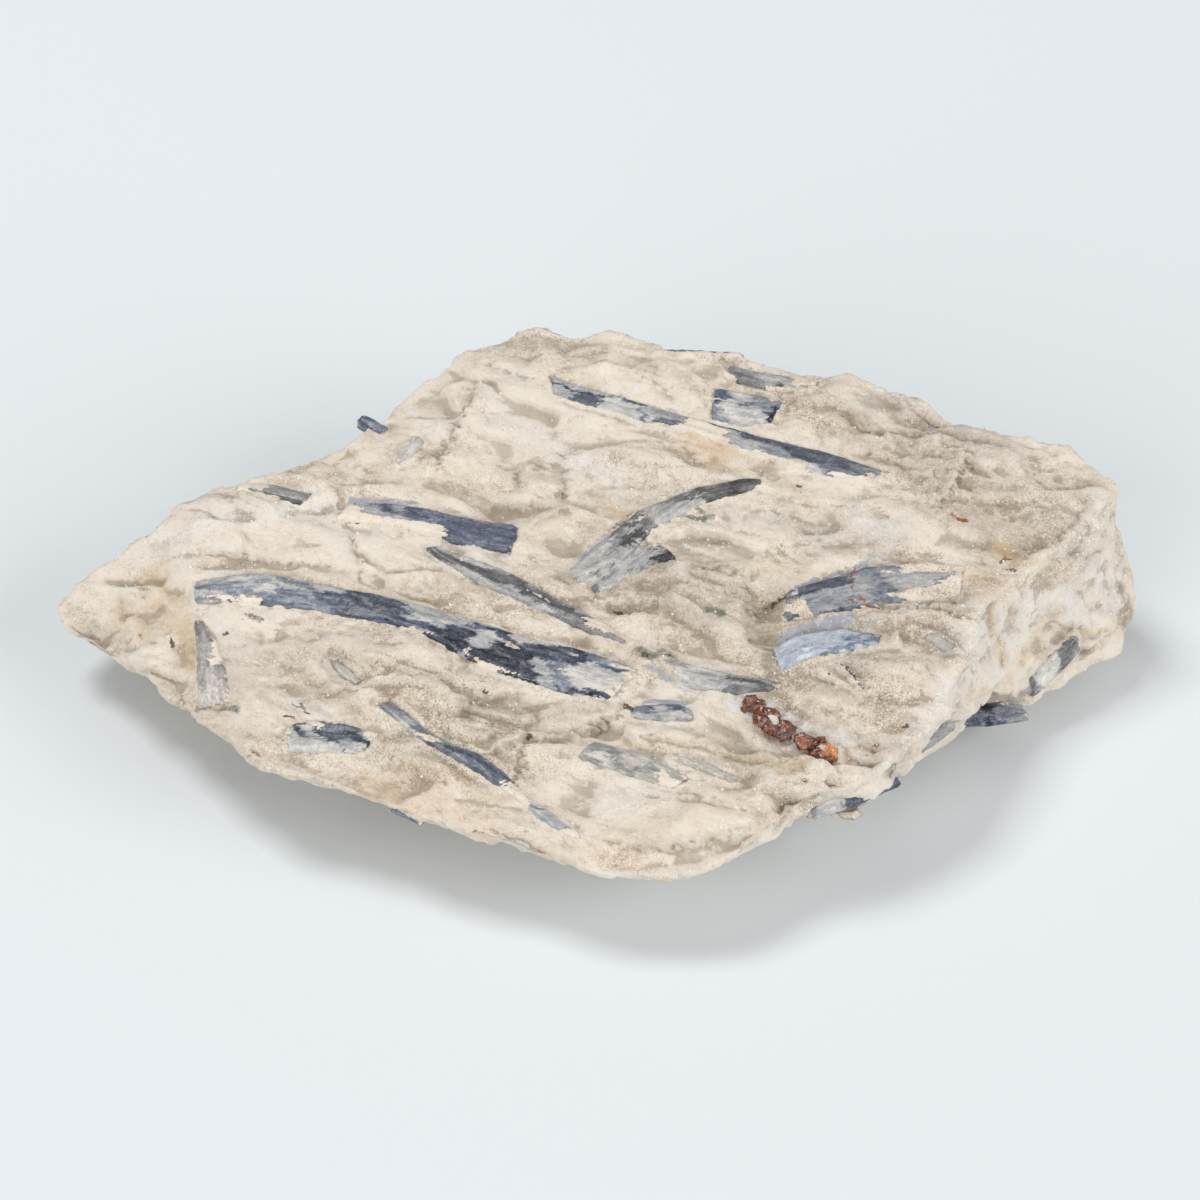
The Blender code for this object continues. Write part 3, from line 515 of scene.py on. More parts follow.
class Relief:
    """Heights for many points at once, the same on every run."""

    @staticmethod
    def scatter(i: Array, j: Array, k: Array, seed: int) -> Array:
        """A random whole number for each lattice cell.

        Args:
            i: the cell's first index.
            j: its second.
            k: its third.
            seed: which numbers.

        Returns:
            One number per cell.
        """
        mixed = (i * 374761393 + j * 668265263 + k * 1103515245 + seed * 974634777) & 0xFFFFFFFF
        mixed = ((mixed ^ (mixed >> 13)) * 1274126177) & 0xFFFFFFFF
        mixed = ((mixed ^ (mixed >> 16)) * 668265263) & 0xFFFFFFFF
        return mixed ^ (mixed >> 15)

    @staticmethod
    def triple(number: Array) -> Array:
        """Three values of -1 to 1 from each whole number."""
        parts = [(number >> shift) & 1023 for shift in (0, 10, 20)]
        return np.stack(parts, -1) / 511.5 - 1.0

    @staticmethod
    def along(points: Array) -> Array:
        """Turn points so that their first axis follows the foliation.

        Args:
            points: one row per point.

        Returns:
            The turned points.
        """
        c, s = math.cos(-GRAIN_TURN), math.sin(-GRAIN_TURN)
        return np.stack([points[:, 0] * c + points[:, 1] * s,
                         -points[:, 0] * s + points[:, 1] * c, points[:, 2]], 1)

    @classmethod
    def clouds(cls, points: Array, size: Sequence[float], octaves: int, seed: int) -> Array:
        """Soft noise of about -1 to 1.

        Args:
            points: one row per point.
            size: size of the largest features along each axis.
            octaves: how many finer layers.
            seed: which noise.

        Returns:
            One value per point.
        """
        total, gain = np.zeros(len(points)), 1.0
        scaled = points / np.array(size)
        for octave in range(octaves):
            p = scaled * 2.03 ** octave + 17.7 * octave
            cell = np.floor(p).astype(np.int64)
            part = p - cell
            fade = part ** 3 * (part * (part * 6 - 15) + 10)
            value = np.zeros(len(p))
            for corner in range(8):
                o = np.array([corner & 1, corner >> 1 & 1, corner >> 2 & 1])
                at = cell + o
                slope = cls.triple(cls.scatter(at[:, 0], at[:, 1], at[:, 2], seed + octave))
                weight = np.where(o == 1, fade, 1 - fade).prod(1)
                value += weight * (slope * (part - o)).sum(1)
            total += gain * value * 1.6
            gain *= 0.52
        return total

    @classmethod
    def facets(cls, points: Array, size: Sequence[float], seed: int, sharp: float) -> Array:
        """Height of a surface broken into tilted facets that meet along edges.

        Args:
            points: one row per point.
            size: size of a facet along each axis.
            seed: which break.
            sharp: how sharp the edges are.

        Returns:
            Heights of about -0.5 to 0.5.
        """
        p = points / np.array(size)
        cell = np.floor(p).astype(np.int64)
        far, plane = [], []
        for corner in range(27):
            at = cell + np.array([corner % 3 - 1, corner // 3 % 3 - 1, corner // 9 - 1])
            number = cls.scatter(at[:, 0], at[:, 1], at[:, 2], seed)
            off = p - (at + 0.5 + 0.5 * cls.triple(number))
            tilt = cls.triple(cls.scatter(at[:, 0], at[:, 1], at[:, 2], seed + 71))
            far.append((off ** 2).sum(1))
            plane.append((off * tilt).sum(1) + 0.25 * tilt[:, 0])
        away = np.array(far)
        weight = np.exp(-(away - away.min(0)) * sharp)
        return (weight * np.array(plane)).sum(0) / weight.sum(0)

    @staticmethod
    def steps(height: Array, step: float, sharp: float) -> Array:
        """Turn a smooth height into terraces with steep edges.

        Args:
            height: the smooth height.
            step: rise of each terrace.
            sharp: share of a step that stays level.

        Returns:
            The stepped height.
        """
        t = height / step
        whole = np.floor(t)
        rise = np.clip((t - whole - sharp) / (1.0 - sharp), 0.0, 1.0)
        return (whole + rise * rise * (3 - 2 * rise)) * step

    @staticmethod
    def ease(value: Array, low: float, high: float) -> Array:
        """0 below low, 1 above high, and smooth between."""
        t = np.clip((value - low) / (high - low), 0.0, 1.0)
        return t * t * (3 - 2 * t)


@dataclass(frozen=True)
class Clouds:
    """Soft swells: their size along each axis, how many finer layers, and which noise."""

    size: tuple[float, float, float]
    layers: int
    seed: int

    def over(self, points: Array) -> Array:
        """A height of about -1 to 1 for each point."""
        return Relief.clouds(points, self.size, self.layers, self.seed)


@dataclass(frozen=True)
class Facets:
    """Broken facets: their size along each axis, which break, and how sharp their edges are."""

    size: tuple[float, float, float]
    seed: int
    sharp: float = 26.0

    def over(self, points: Array) -> Array:
        """A height of about -0.5 to 0.5 for each point."""
        return Relief.facets(points, self.size, self.seed, self.sharp)


@dataclass(frozen=True)
class Mark:
    """A streak or patch: a tone (or QUARTZ) along a line with a half width."""

    tone: float
    x0: float
    y0: float
    x1: float
    y1: float
    half: float

    def reach(self, points: Array) -> Array:
        """Measure how far points are from the mark.

        Args:
            points: one row per point.

        Returns:
            Distance from the line, where the edge of the mark is 1.
        """
        a, b = np.array([self.x0, self.y0]), np.array([self.x1, self.y1])
        line = b - a
        t = np.clip(((points[:, :2] - a) @ line) / max(line @ line, 1e-9), 0.0, 1.0)
        return np.hypot(*(points[:, :2] - a - t[:, None] * line).T) / self.half


@dataclass(frozen=True)
class Stain:
    """A patch of another colour on the quartz, along a line, with a soft edge."""

    x0: float
    y0: float
    x1: float
    y1: float
    half: float
    amount: float
    z0: float | None = None
    z1: float | None = None

    def share(self, points: Array) -> Array:
        """Measure the stain.

        Args:
            points: one row per point.

        Returns:
            How much of it each point has.
        """
        flat = self.z0 is None
        a = np.array([self.x0, self.y0, 0.0 if flat else self.z0])
        b = np.array([self.x1, self.y1, 0.0 if flat else self.z1])
        p = points.copy()
        if flat:
            p[:, 2] = 0.0
        line = b - a
        t = np.clip(((p - a) @ line) / max(line @ line, 1e-9), 0.0, 1.0)
        far = np.linalg.norm(p - a - t[:, None] * line, axis=1) / self.half
        return self.amount * (1.0 - Relief.ease(far, 0.35, 1.5))


@dataclass(frozen=True)
class Ledge:
    """A break in the quartz: the left side of its line stands higher than the right."""

    x0: float
    y0: float
    x1: float
    y1: float
    rise: float
    width: float

    def lift(self, points: Array) -> Array:
        """Measure the ledge and the crack along it.

        Args:
            points: one row per point.

        Returns:
            How far each point is raised or, below 0, sunk.
        """
        a, b = np.array([self.x0, self.y0]), np.array([self.x1, self.y1])
        line, off = b - a, points[:, :2] - a
        length = max(float(np.hypot(*line)), 1e-6)
        t = off @ line / length ** 2
        side = (line[0] * off[:, 1] - line[1] * off[:, 0]) / length
        ends = Relief.ease(t, -0.16, 0.12) * (1.0 - Relief.ease(t, 0.88, 1.16))
        body = np.tanh(side / 0.4) * np.exp(-np.abs(side) / self.width)
        crack = np.exp(-(side / 0.5) ** 2)
        return ends * (0.8 * self.rise * body - 0.4 * abs(self.rise) * crack)


class Skin:
    """A closed mesh as arrays, in millimetres."""

    def __init__(self, mesh: bpy.types.Mesh) -> None:
        """Read the mesh's points and edges."""
        self.mesh = mesh
        self.co = np.empty(len(mesh.vertices) * 3)
        mesh.vertices.foreach_get("co", self.co)
        self.co = self.co.reshape(-1, 3) / MM
        self.edges = np.empty(len(mesh.edges) * 2, np.int64)
        mesh.edges.foreach_get("vertices", self.edges)
        self.edges = self.edges.reshape(-1, 2)
        self.links = np.maximum(np.bincount(self.edges.ravel(), minlength=len(self.co)), 1.0)

    def spread(self, values: Array, rounds: int) -> Array:
        """Average values with their neighbours'.

        Args:
            values: one row per point.
            rounds: how often.

        Returns:
            The averaged values.
        """
        data = values.reshape(len(values), -1).astype(float)
        a, b = self.edges[:, 0], self.edges[:, 1]
        for _ in range(rounds):
            total = np.empty_like(data)
            for k in range(data.shape[1]):
                total[:, k] = (np.bincount(a, data[b, k], len(data))
                               + np.bincount(b, data[a, k], len(data)))
            data = 0.5 * data + 0.5 * total / self.links[:, None]
        return data.reshape(values.shape)

    def facing(self) -> Array:
        """The direction each point faces."""
        self.write()
        out = np.empty(len(self.co) * 3)
        self.mesh.vertex_normals.foreach_get("vector", out)
        return out.reshape(-1, 3)

    def write(self) -> None:
        """Put the points back into the mesh."""
        self.mesh.vertices.foreach_set("co", (self.co * MM).ravel())
        self.mesh.update()

    def keep(self, name: str, values: Array) -> None:
        """Keep values on the mesh.

        Args:
            name: the attribute's name.
            values: one number, or one vector, per point.
        """
        kind, place = ("FLOAT_VECTOR", "vector") if values.ndim == 2 else ("FLOAT", "value")
        made = self.mesh.attributes.new(name, kind, "POINT")
        made.data.foreach_set(place, np.ascontiguousarray(values, np.float32).ravel())


class Workshop:
    """Mesh making that every piece shares."""

    @staticmethod
    def solid(name: str) -> tuple[Array, Array]:
        """Read a CAD node.

        Args:
            name: the node.

        Returns:
            Its merged points in millimetres and its triangles.
        """
        grid = bmesh.new()
        grid.from_mesh(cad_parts[name].data)
        bmesh.ops.remove_doubles(grid, verts=grid.verts, dist=1e-6)
        points = np.array([v.co[:] for v in grid.verts]) / MM
        corners = np.array([[v.index for v in f.verts] for f in grid.faces])
        grid.free()
        return points, corners

    @staticmethod
    def join(solids: Sequence[tuple[Array, Array]]) -> tuple[Array, Array]:
        """Put several solids together.

        Args:
            solids: each solid's points and triangles.

        Returns:
            One list of points and one of triangles.
        """
        start, faces = 0, []
        for points, corners in solids:
            faces.append(corners + start)
            start += len(points)
        return np.vstack([p for p, _ in solids]), np.vstack(faces)

    @staticmethod
    def piece(name: str, mesh: bpy.types.Mesh) -> bpy.types.Object:
        """Link a mesh as an object at the origin.

        Args:
            name: the object's name.
            mesh: its mesh.

        Returns:
            The object.
        """
        made = bpy.data.objects.new(name, mesh)
        bpy.context.scene.collection.objects.link(made)
        return made

    @staticmethod
    def plain(thing: bpy.types.Object, name: str) -> bpy.types.Mesh:
        """Turn an object with modifiers into a plain mesh, and remove the object.

        Args:
            thing: the object.
            name: the mesh's name.

        Returns:
            The evaluated mesh.
        """
        bpy.context.view_layer.update()
        graph = bpy.context.evaluated_depsgraph_get()
        mesh = bpy.data.meshes.new_from_object(thing.evaluated_get(graph))
        mesh.name = name
        bpy.data.objects.remove(thing, do_unlink=True)
        return mesh

    @classmethod
    def voxels(cls, name: str, points: Array, corners: Array, size: float) -> bpy.types.Mesh:
        """Rebuild closed shapes as one even skin.

        Args:
            name: the mesh's name.
            points: points in millimetres.
            corners: triangles.
            size: edge of a voxel in millimetres.

        Returns:
            The skin.
        """
        rough = bpy.data.meshes.new(name + "_rough")
        rough.from_pydata((points * MM).tolist(), [], corners.tolist())
        thing = cls.piece(name + "_rough", rough)
        wrap = thing.modifiers.new("wrap", "REMESH")
        wrap.mode = "VOXEL"
        wrap.voxel_size = size * MM
        wrap.use_smooth_shade = True
        return cls.plain(thing, name)

    @classmethod
    def thin(cls, mesh: bpy.types.Mesh, triangles: int) -> bpy.types.Mesh:
        """Reduce a mesh, least where its shape bends most.

        Args:
            mesh: the mesh, which is used up.
            triangles: how many it may keep.

        Returns:
            The reduced mesh.
        """
        count = sum(len(p.vertices) - 2 for p in mesh.polygons)
        if count <= triangles:
            return mesh
        name = mesh.name
        thing = cls.piece(name + "_dense", mesh)
        fewer = thing.modifiers.new("fewer", "DECIMATE")
        fewer.ratio = triangles / count
        made = cls.plain(thing, name)
        made.polygons.foreach_set("use_smooth", [True] * len(made.polygons))
        return made

    @staticmethod
    def dress(thing: bpy.types.Object, material: bpy.types.Material, slot: str,
              *nodes: str) -> bpy.types.Object:
        """Give a piece its material and its body, and hide the CAD nodes it stands for.

        Args:
            thing: the piece.
            material: its finish.
            slot: not used.
            nodes: the CAD nodes it stands for.

        Returns:
            The piece.
        """
        thing.data.materials.clear()
        thing.data.materials.append(material)
        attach(thing, "root")
        if nodes:
            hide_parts(*nodes)
        faces = sum(len(p.vertices) - 2 for p in thing.data.polygons)
        LOG.info("%s: %d triangles", thing.name, faces)
        return thing


def outward(points: Array) -> Array:
    """The way a flat crystal faces: its thinnest direction, turned away from the slab's middle.

    Args:
        points: the crystal's points.

    Returns:
        A direction of length 1.
    """
    middle = points.mean(0)
    thin = np.linalg.svd(points - middle, full_matrices=False)[2][2]
    away = middle - np.array([0.0, 0.0, 14.0])
    away[:2] *= 0.15
    return thin if thin @ away > 0 else -thin


def ragged(points: Array, along: float, across: float, seed: int) -> Array:
    """Push points about so that marks read there get splintery ends.

    Args:
        points: one row per point.
        along: how far along the foliation.
        across: how far across it.
        seed: which noise.

    Returns:
        The pushed points.
    """
    grain = Relief.along(points)
    shift = Relief.clouds(grain, (5.0, 0.55, 1.2), 3, seed + 31) * along
    side = Relief.clouds(grain, (1.5, 1.1, 1.2), 3, seed + 47) * across
    c, s = math.cos(GRAIN_TURN), math.sin(GRAIN_TURN)
    out = points.copy()
    out[:, 0] += shift * c + side * s
    out[:, 1] += -shift * s + side * c
    return out


@dataclass
class QuartzSlab:
    """The slab: the CAD solid with its pockets filled under the blades, re-skinned and broken."""

    stains: dict[str, list[Stain]]
    ledges: list[Ledge]
    voxel: float = 0.52
    sunk: float = 0.3
    swell: float = 0.55
    triangles: int = 196000
    bare: tuple[str, ...] = ("blade_nub", "blade_wall_low", "blade_foot")
    zones: Clouds = Clouds((38.0, 24.0, 20.0), 3, 3)
    swells: Clouds = Clouds((24.0, 13.0, 12.0), 2, 11)
    row_bends: Clouds = Clouds((34.0, 15.0, 12.0), 3, 23)
    row_patches: Clouds = Clouds((24.0, 15.0, 12.0), 2, 61)
    crusts: Clouds = Clouds((3.0, 1.4, 1.6), 4, 41)
    plates: Facets = Facets((13.0, 7.5, 7.5), 5, 16.0)
    chips: Facets = Facets((3.6, 2.1, 2.1), 6)
    grains: Facets = Facets((1.5, 1.0, 1.0), 12)
    wall: tuple[tuple[Facets, float], ...] = ((Facets((14.0, 12.0, 9.0), 7, 12.0), 2.0),
                                              (Facets((5.2, 5.0, 4.0), 8), 0.7),
                                              (Facets((2.2, 2.2, 1.9), 9), 0.3))
    rise: float = 1.4
    row_pitch: float = 10.0
    chip_rise: float = 0.42
    grain_rise: float = 0.16
    foot: float = 2.5
    skin: Skin | None = field(default=None, init=False)
    near: Array | None = field(default=None, init=False)
    up: Array | None = field(default=None, init=False)

    def filler(self, name: str) -> tuple[Array, Array]:
        """Make what fills the lower part of a crystal's pocket: its shape, swollen and sunk.

        Args:
            name: the crystal's node.

        Returns:
            Points and triangles.
        """
        points, corners = Workshop.solid(name)
        mesh = bpy.data.meshes.new("filler")
        mesh.from_pydata(points.tolist(), [], corners.tolist())
        out = np.empty(len(points) * 3)
        mesh.vertex_normals.foreach_get("vector", out)
        bpy.data.meshes.remove(mesh)
        out, away = out.reshape(-1, 3), outward(points)
        out -= np.outer(out @ away, away)
        return points + out * self.swell - away * self.sunk, corners

    def build(self, blades: Sequence[str], garnets: Sequence[str]) -> bpy.types.Object:
        """Make the slab.

        Args:
            blades: the kyanite nodes set in it.
            garnets: the garnet nodes set in it.

        Returns:
            The finished piece.
        """
        fillers = [self.filler(name) for name in (*blades, *garnets)]
        points, corners = Workshop.join([Workshop.solid("matrix"), *fillers])
        mesh = Workshop.voxels("matrix_quartz", points, corners, self.voxel)
        self.skin = Skin(mesh)
        self.skin.co = self.skin.spread(self.skin.co, 2)
        self.breakage([name for name in blades if name not in self.bare], garnets)
        mesh = Workshop.thin(mesh, self.triangles)
        self.skin = Skin(mesh)
        self.measure_hollows()
        self.paint()
        thing = Workshop.piece("quartz_slab", mesh)
        return Workshop.dress(thing, QuartzFinish().material(), "quartz", "matrix")

    def cover(self, names: Sequence[str], out: Array) -> tuple[Array, Array]:
        """Where crystals lie over the skin.

        Args:
            names: the crystals' nodes.
            out: the direction each point faces.

        Returns:
            Distance to the nearest crystal, and depth of each point under one, or 0.
        """
        points, corners = Workshop.join([Workshop.solid(name) for name in names])
        tree = BVHTree.FromPolygons(points.tolist(), corners.tolist())
        rows = [(Vector(p), Vector(n)) for p, n in zip(self.skin.co.tolist(), out.tolist())]
        gap = np.array([tree.find_nearest(p)[3] for p, _ in rows])
        return gap, np.array([tree.ray_cast(p, n, 5.0)[3] or 0.0 for p, n in rows])

    def top_height(self, points: Array) -> Array:
        """Break the top into swells, plates, rows, chips and ledges.

        Args:
            points: the skin's points.

        Returns:
            How far each point is raised.
        """
        grain = Relief.along(points)
        zone = Relief.ease(self.zones.over(grain), -0.5, 0.6) + 0.9 * self.amount("coarse", points)
        zone = np.clip(zone - 0.7 * self.amount("smooth", points), 0.0, 1.6)
        top = self.swells.over(grain) * self.rise
        top += self.plates.over(grain) * (self.rise + self.rise * zone)
        row = grain[:, 1] / self.row_pitch + self.row_bends.over(grain) * 1.1
        part = row - np.floor(row)
        patch = Relief.ease(self.row_patches.over(grain), -0.05, 0.45)
        top += patch * (Relief.ease(part, 0.0, 0.10) - part) * (0.8 + self.rise * zone)
        top += (0.3 + zone) * self.chips.over(grain) * self.chip_rise
        top += (0.4 + zone) * self.grains.over(grain) * self.grain_rise
        bent = ragged(points, 1.4, 0.7, 13)
        for ledge in self.ledges:
            top += ledge.lift(bent)
        return top

    def lap(self, height: Array, gap: Array, above: Array, rough: Array) -> Array:
        """Lap the quartz round the blades and leave crusts on them.

        Args:
            height: how far each point is raised.
            gap: distance to the nearest blade.
            above: depth under a blade, or 0.
            rough: a noise that breaks the laps up.

        Returns:
            The changed height.
        """
        under = above > 0.0
        near = 1.0 - Relief.ease(gap, 0.2, 2.4)
        height += np.where(under, 0.0, near * (0.36 * rough - 0.06))
        inner = self.skin.spread(under.astype(float), 5)
        crust = Relief.ease(0.22 - inner + 0.5 * rough, 0.0, 0.12)
        raised = crust * (above + 0.25 + 0.3 * rough) - (1 - crust) * 0.15
        return np.where(under, raised, height)

    @staticmethod
    def retreat(height: Array, gap: Array, start: float, end: float, depth: float) -> Array:
        """Let the quartz fall back beside a crystal.

        Args:
            height: how far each point is raised.
            gap: distance to the crystal.
            start: the quartz is at its lowest up to this distance.
            end: the quartz has its own height from here.
            depth: how low it falls.

        Returns:
            The changed height.
        """
        free = Relief.ease(gap, start, end)
        return height * free - depth * (1.0 - free)

    def breakage(self, blades: Sequence[str], garnets: Sequence[str]) -> None:
        """Break the skin up, lap it round the blades and let it fall back from what stands bare.

        Args:
            blades: nodes that the quartz laps onto.
            garnets: nodes that stand proud of it.
        """
        skin, co = self.skin, self.skin.co
        soft = skin.spread(skin.facing(), 6)
        soft /= np.linalg.norm(soft, axis=1)[:, None]
        flat = Relief.ease(soft[:, 2], 0.45, 0.85)
        gap, above = self.cover(blades, soft)
        free = Relief.ease(gap, 0.3, 3.5)
        wall = sum(facets.over(co) * high for facets, high in self.wall)
        height = flat * self.top_height(co) * (0.3 + 0.7 * free)
        height = height + (1.0 - flat) * wall * (0.4 + 0.6 * free)
        rough = self.crusts.over(Relief.along(co))
        height = self.lap(height, gap, above, rough)
        height *= np.clip(co[:, 2] / self.foot, 0.0, 1.0)
        height = self.retreat(height, self.cover(self.bare, soft)[0], 0.4, 3.0, 0.9)
        beside, beneath = self.cover(garnets, soft)
        height = self.retreat(height, beside, 0.3, 2.0, 0.35)
        crust = np.where(rough > 0.82, beneath + 0.15, -0.5)
        height = np.where(beneath > 0.0, crust, height)
        skin.co = co + soft * height[:, None]
        skin.co[:, 2] = np.clip(skin.co[:, 2], 0.0, CAD_BOX[1][2] / MM + 0.5)
        skin.write()

    def amount(self, kind: str, points: Array) -> Array:
        """Measure one kind of stain.

        Args:
            kind: the stain's kind.
            points: one row per point.

        Returns:
            How much of it each point has.
        """
        total = np.zeros(len(points))
        for stain in self.stains[kind]:
            total = np.maximum(total, stain.share(points))
        return total

    def measure_hollows(self) -> None:
        """Mark the hollows and edges of the finished skin, for painted shade in the hollows and painted
        highlight on the edges.
        """
        skin = self.skin
        out = skin.facing()
        hollow = np.zeros(len(skin.co))
        for rounds, gain in ((3, 1.3), (12, 1.3), (48, 0.9)):
            hollow += gain * ((skin.spread(skin.co, rounds) - skin.co) * out).sum(1)
        skin.keep("hollow", np.clip(hollow, -1.0, 1.0))
        self.up = np.clip(out[:, 2], 0.0, 1.0)

    def paint(self) -> None:
        """Lay the stains on the skin as one number per kind; the grey, dirt, dark, white and smooth
        stains also hold painted shade and painted light.
        """
        shifted = ragged(self.skin.co, 0.8, 0.3, 5)
        for kind in self.stains:
            self.skin.keep(kind, self.amount(kind, shifted))
        self.near = self.amount("white", shifted)

    def sugar(self) -> None:
        """Mark where sugary grains sit: on the top, thickest by the white stains."""
        self.skin.keep("sugar", self.up * np.clip(self.near * 2.0 + 0.12, 0.0, 1.0))


@dataclass(frozen=True)
class BladeLook:
    """How one blade looks along its length, from its left end (0) to its right end (1)."""

    tint: Tint
    tones: tuple[tuple[float, float], ...]
    veils: tuple[tuple[float, float], ...] = ((0.0, 0.1), (1.0, 0.1))
    across: float = 0.0
    edge: float = 0.25


@dataclass
class KyaniteBlade:
    """One blade: the CAD solid re-skinned finely, with striations, cleavage steps and torn ends."""

    node: str
    look: BladeLook
    marks: list[Mark]
    rust: list[Stain]
    voxel: float = 0.34
    line_rise: float = 0.03
    step: float = 0.3
    step_rise: float = 0.22
    torn_rise: float = 0.04
    proud: float = 0.12
    side_rise: float = 0.15
    end_reach: float = 2.4
    end_pull: float = 0.7

    @staticmethod
    def local(points: Array) -> tuple[Array, Array, Array]:
        """Where each point lies in the blade.

        Args:
            points: the blade's points.

        Returns:
            Along, across and below the face in millimetres; the face's direction; the length's.
        """
        middle = points.mean(0)
        axes = np.linalg.svd(points - middle, full_matrices=False)[2]
        length = axes[0] if axes[0][0] >= 0 else -axes[0]
        out = outward(points)
        side = np.cross(out, length)
        side = side if side[1] >= 0 else -side
        u, v, w = ((points - middle) @ axis for axis in (length, side, out))
        order = 3 if np.ptp(u) > 12 else 1
        v = v - np.polyval(np.polyfit(u, v, order), u)
        w = w - np.polyval(np.polyfit(u, w, order), u)
        return np.stack([u - u.min(), v, w], 1), out, length

    def build(self, finishes: dict[Tint, bpy.types.Material]) -> bpy.types.Object:
        """Make the blade.

        Args:
            finishes: the kyanite materials by colour family.

        Returns:
            The finished piece.
        """
        mesh = Workshop.voxels(self.node, *Workshop.solid(self.node), self.voxel)
        skin = Skin(mesh)
        skin.co = skin.spread(skin.co, 1)
        grain, out, length = self.local(skin.co)
        seed = sum(map(ord, self.node)) % 97
        ends = self.shape(skin, grain, out, length, seed)
        self.paint(skin, grain, ends, seed)
        thing = Workshop.piece("kyanite_" + self.node, mesh)
        tint = self.look.tint
        return Workshop.dress(thing, finishes[tint], tint.finish, self.node)

    def shape(self, skin: Skin, grain: Array, out: Array, length: Array, seed: int) -> Array:
        """Raise the striations and cleavage steps, and tear the ends.

        Args:
            skin: the blade's skin.
            grain: where each point lies in the blade.
            out: the direction of the blade's face.
            length: the direction of its length.
            seed: which noise.

        Returns:
            How near each point is to a torn end, from 0 to 1.
        """
        u = grain[:, 0]
        span = max(u.max(), 1e-6)
        facing = skin.facing()
        face = np.clip(facing @ out, 0.0, 1.0)
        lines = Relief.clouds(grain, (20.0, 1.0, 3.0), 3, seed)
        slabs = Relief.steps(Relief.clouds(grain, (10.0, 2.6, 4.0), 3, seed + 5) * 1.1, self.step, 0.8)
        torn = Relief.clouds(grain, (2.2, 0.8, 1.2), 3, seed + 9)
        rise = lines * self.line_rise + slabs * self.step_rise + torn * self.torn_rise + self.proud
        height = face * rise + (1.0 - face) * torn * self.side_rise
        skin.co += facing * height[:, None]
        ends = np.clip(1.0 - np.minimum(u, span - u) / self.end_reach, 0.0, 1.0)
        push = np.where(u < span / 2, 1.0, -1.0) * ends * self.end_pull * min(1.0, span / 14)
        skin.co += np.outer(push * (0.5 + np.clip(torn, -0.5, 1.0)), length)
        skin.write()
        return ends

    def paint(self, skin: Skin, grain: Array, ends: Array, seed: int) -> None:
        """Keep the blade's tones, quartz veils and rust on its skin.

        Args:
            skin: the blade's skin.
            grain: where each point lies in the blade.
            ends: how near each point is to a torn end.
            seed: which noise.
        """
        u, v = grain[:, 0], grain[:, 1]
        share = u / max(u.max(), 1e-6)
        cross = np.clip(v / max(np.percentile(np.abs(v), 96), 0.3), -1.3, 1.3)
        tone = np.interp(share, *zip(*self.look.tones)) + self.look.across * cross
        veil = np.interp(share, *zip(*self.look.veils))
        pushed = ragged(skin.co, 1.5, 0.34, seed)
        for mark in self.marks:
            inside = 1.0 - Relief.ease(mark.reach(pushed), 0.85, 1.15)
            if mark.tone == QUARTZ:
                veil = np.maximum(veil, inside * 0.95)
            else:
                tone += (mark.tone - tone) * inside
                veil *= 1.0 - 0.6 * inside
        patches = Relief.clouds(grain, (3.5, 1.0, 2.0), 4, seed + 17)
        rim = np.clip(np.abs(cross) - 0.62, 0.0, 0.6) * self.look.edge
        veil = veil + (rim + ends * 0.25) * (1.0 + 1.2 * patches)
        skin.keep("grain", grain + seed * 3.1)
        skin.keep("tone", tone + patches * 0.10)
        skin.keep("veil", veil + patches * 0.18)
        skin.keep("rust", np.max([spot.share(pushed) for spot in self.rust], 0))


@dataclass
class GarnetCluster:
    """Garnet grains grown together: the CAD solid re-skinned and broken into small facets."""

    node: str
    tip: tuple[float, float]
    tip_tone: float
    voxel: float = 0.2
    swell: float = 0.28
    large: Facets = Facets((2.4, 1.7, 1.7), 3, 60.0)
    large_rise: float = 0.9
    small: Facets = Facets((0.9, 0.9, 0.9), 4, 60.0)
    small_rise: float = 0.25
    tone: float = 0.40
    tip_reach: float = 1.5

    def build(self, material: bpy.types.Material) -> bpy.types.Object:
        """Make the cluster.

        Args:
            material: the garnet material.

        Returns:
            The finished piece.
        """
        mesh = Workshop.voxels(self.node, *Workshop.solid(self.node), self.voxel)
        skin = Skin(mesh)
        out = skin.facing()
        height = self.large.over(skin.co) * self.large_rise + self.swell
        height += self.small.over(skin.co) * self.small_rise
        skin.co += out * height[:, None]
        skin.write()
        far = np.hypot(skin.co[:, 0] - self.tip[0], skin.co[:, 1] - self.tip[1])
        glow = np.exp(-(far / self.tip_reach) ** 2)
        skin.keep("tone", self.tone + (self.tip_tone - self.tone) * glow)
        thing = Workshop.piece("garnet_" + self.node.split("_")[1] + "_grains", mesh)
        return Workshop.dress(thing, material, "garnet", self.node)


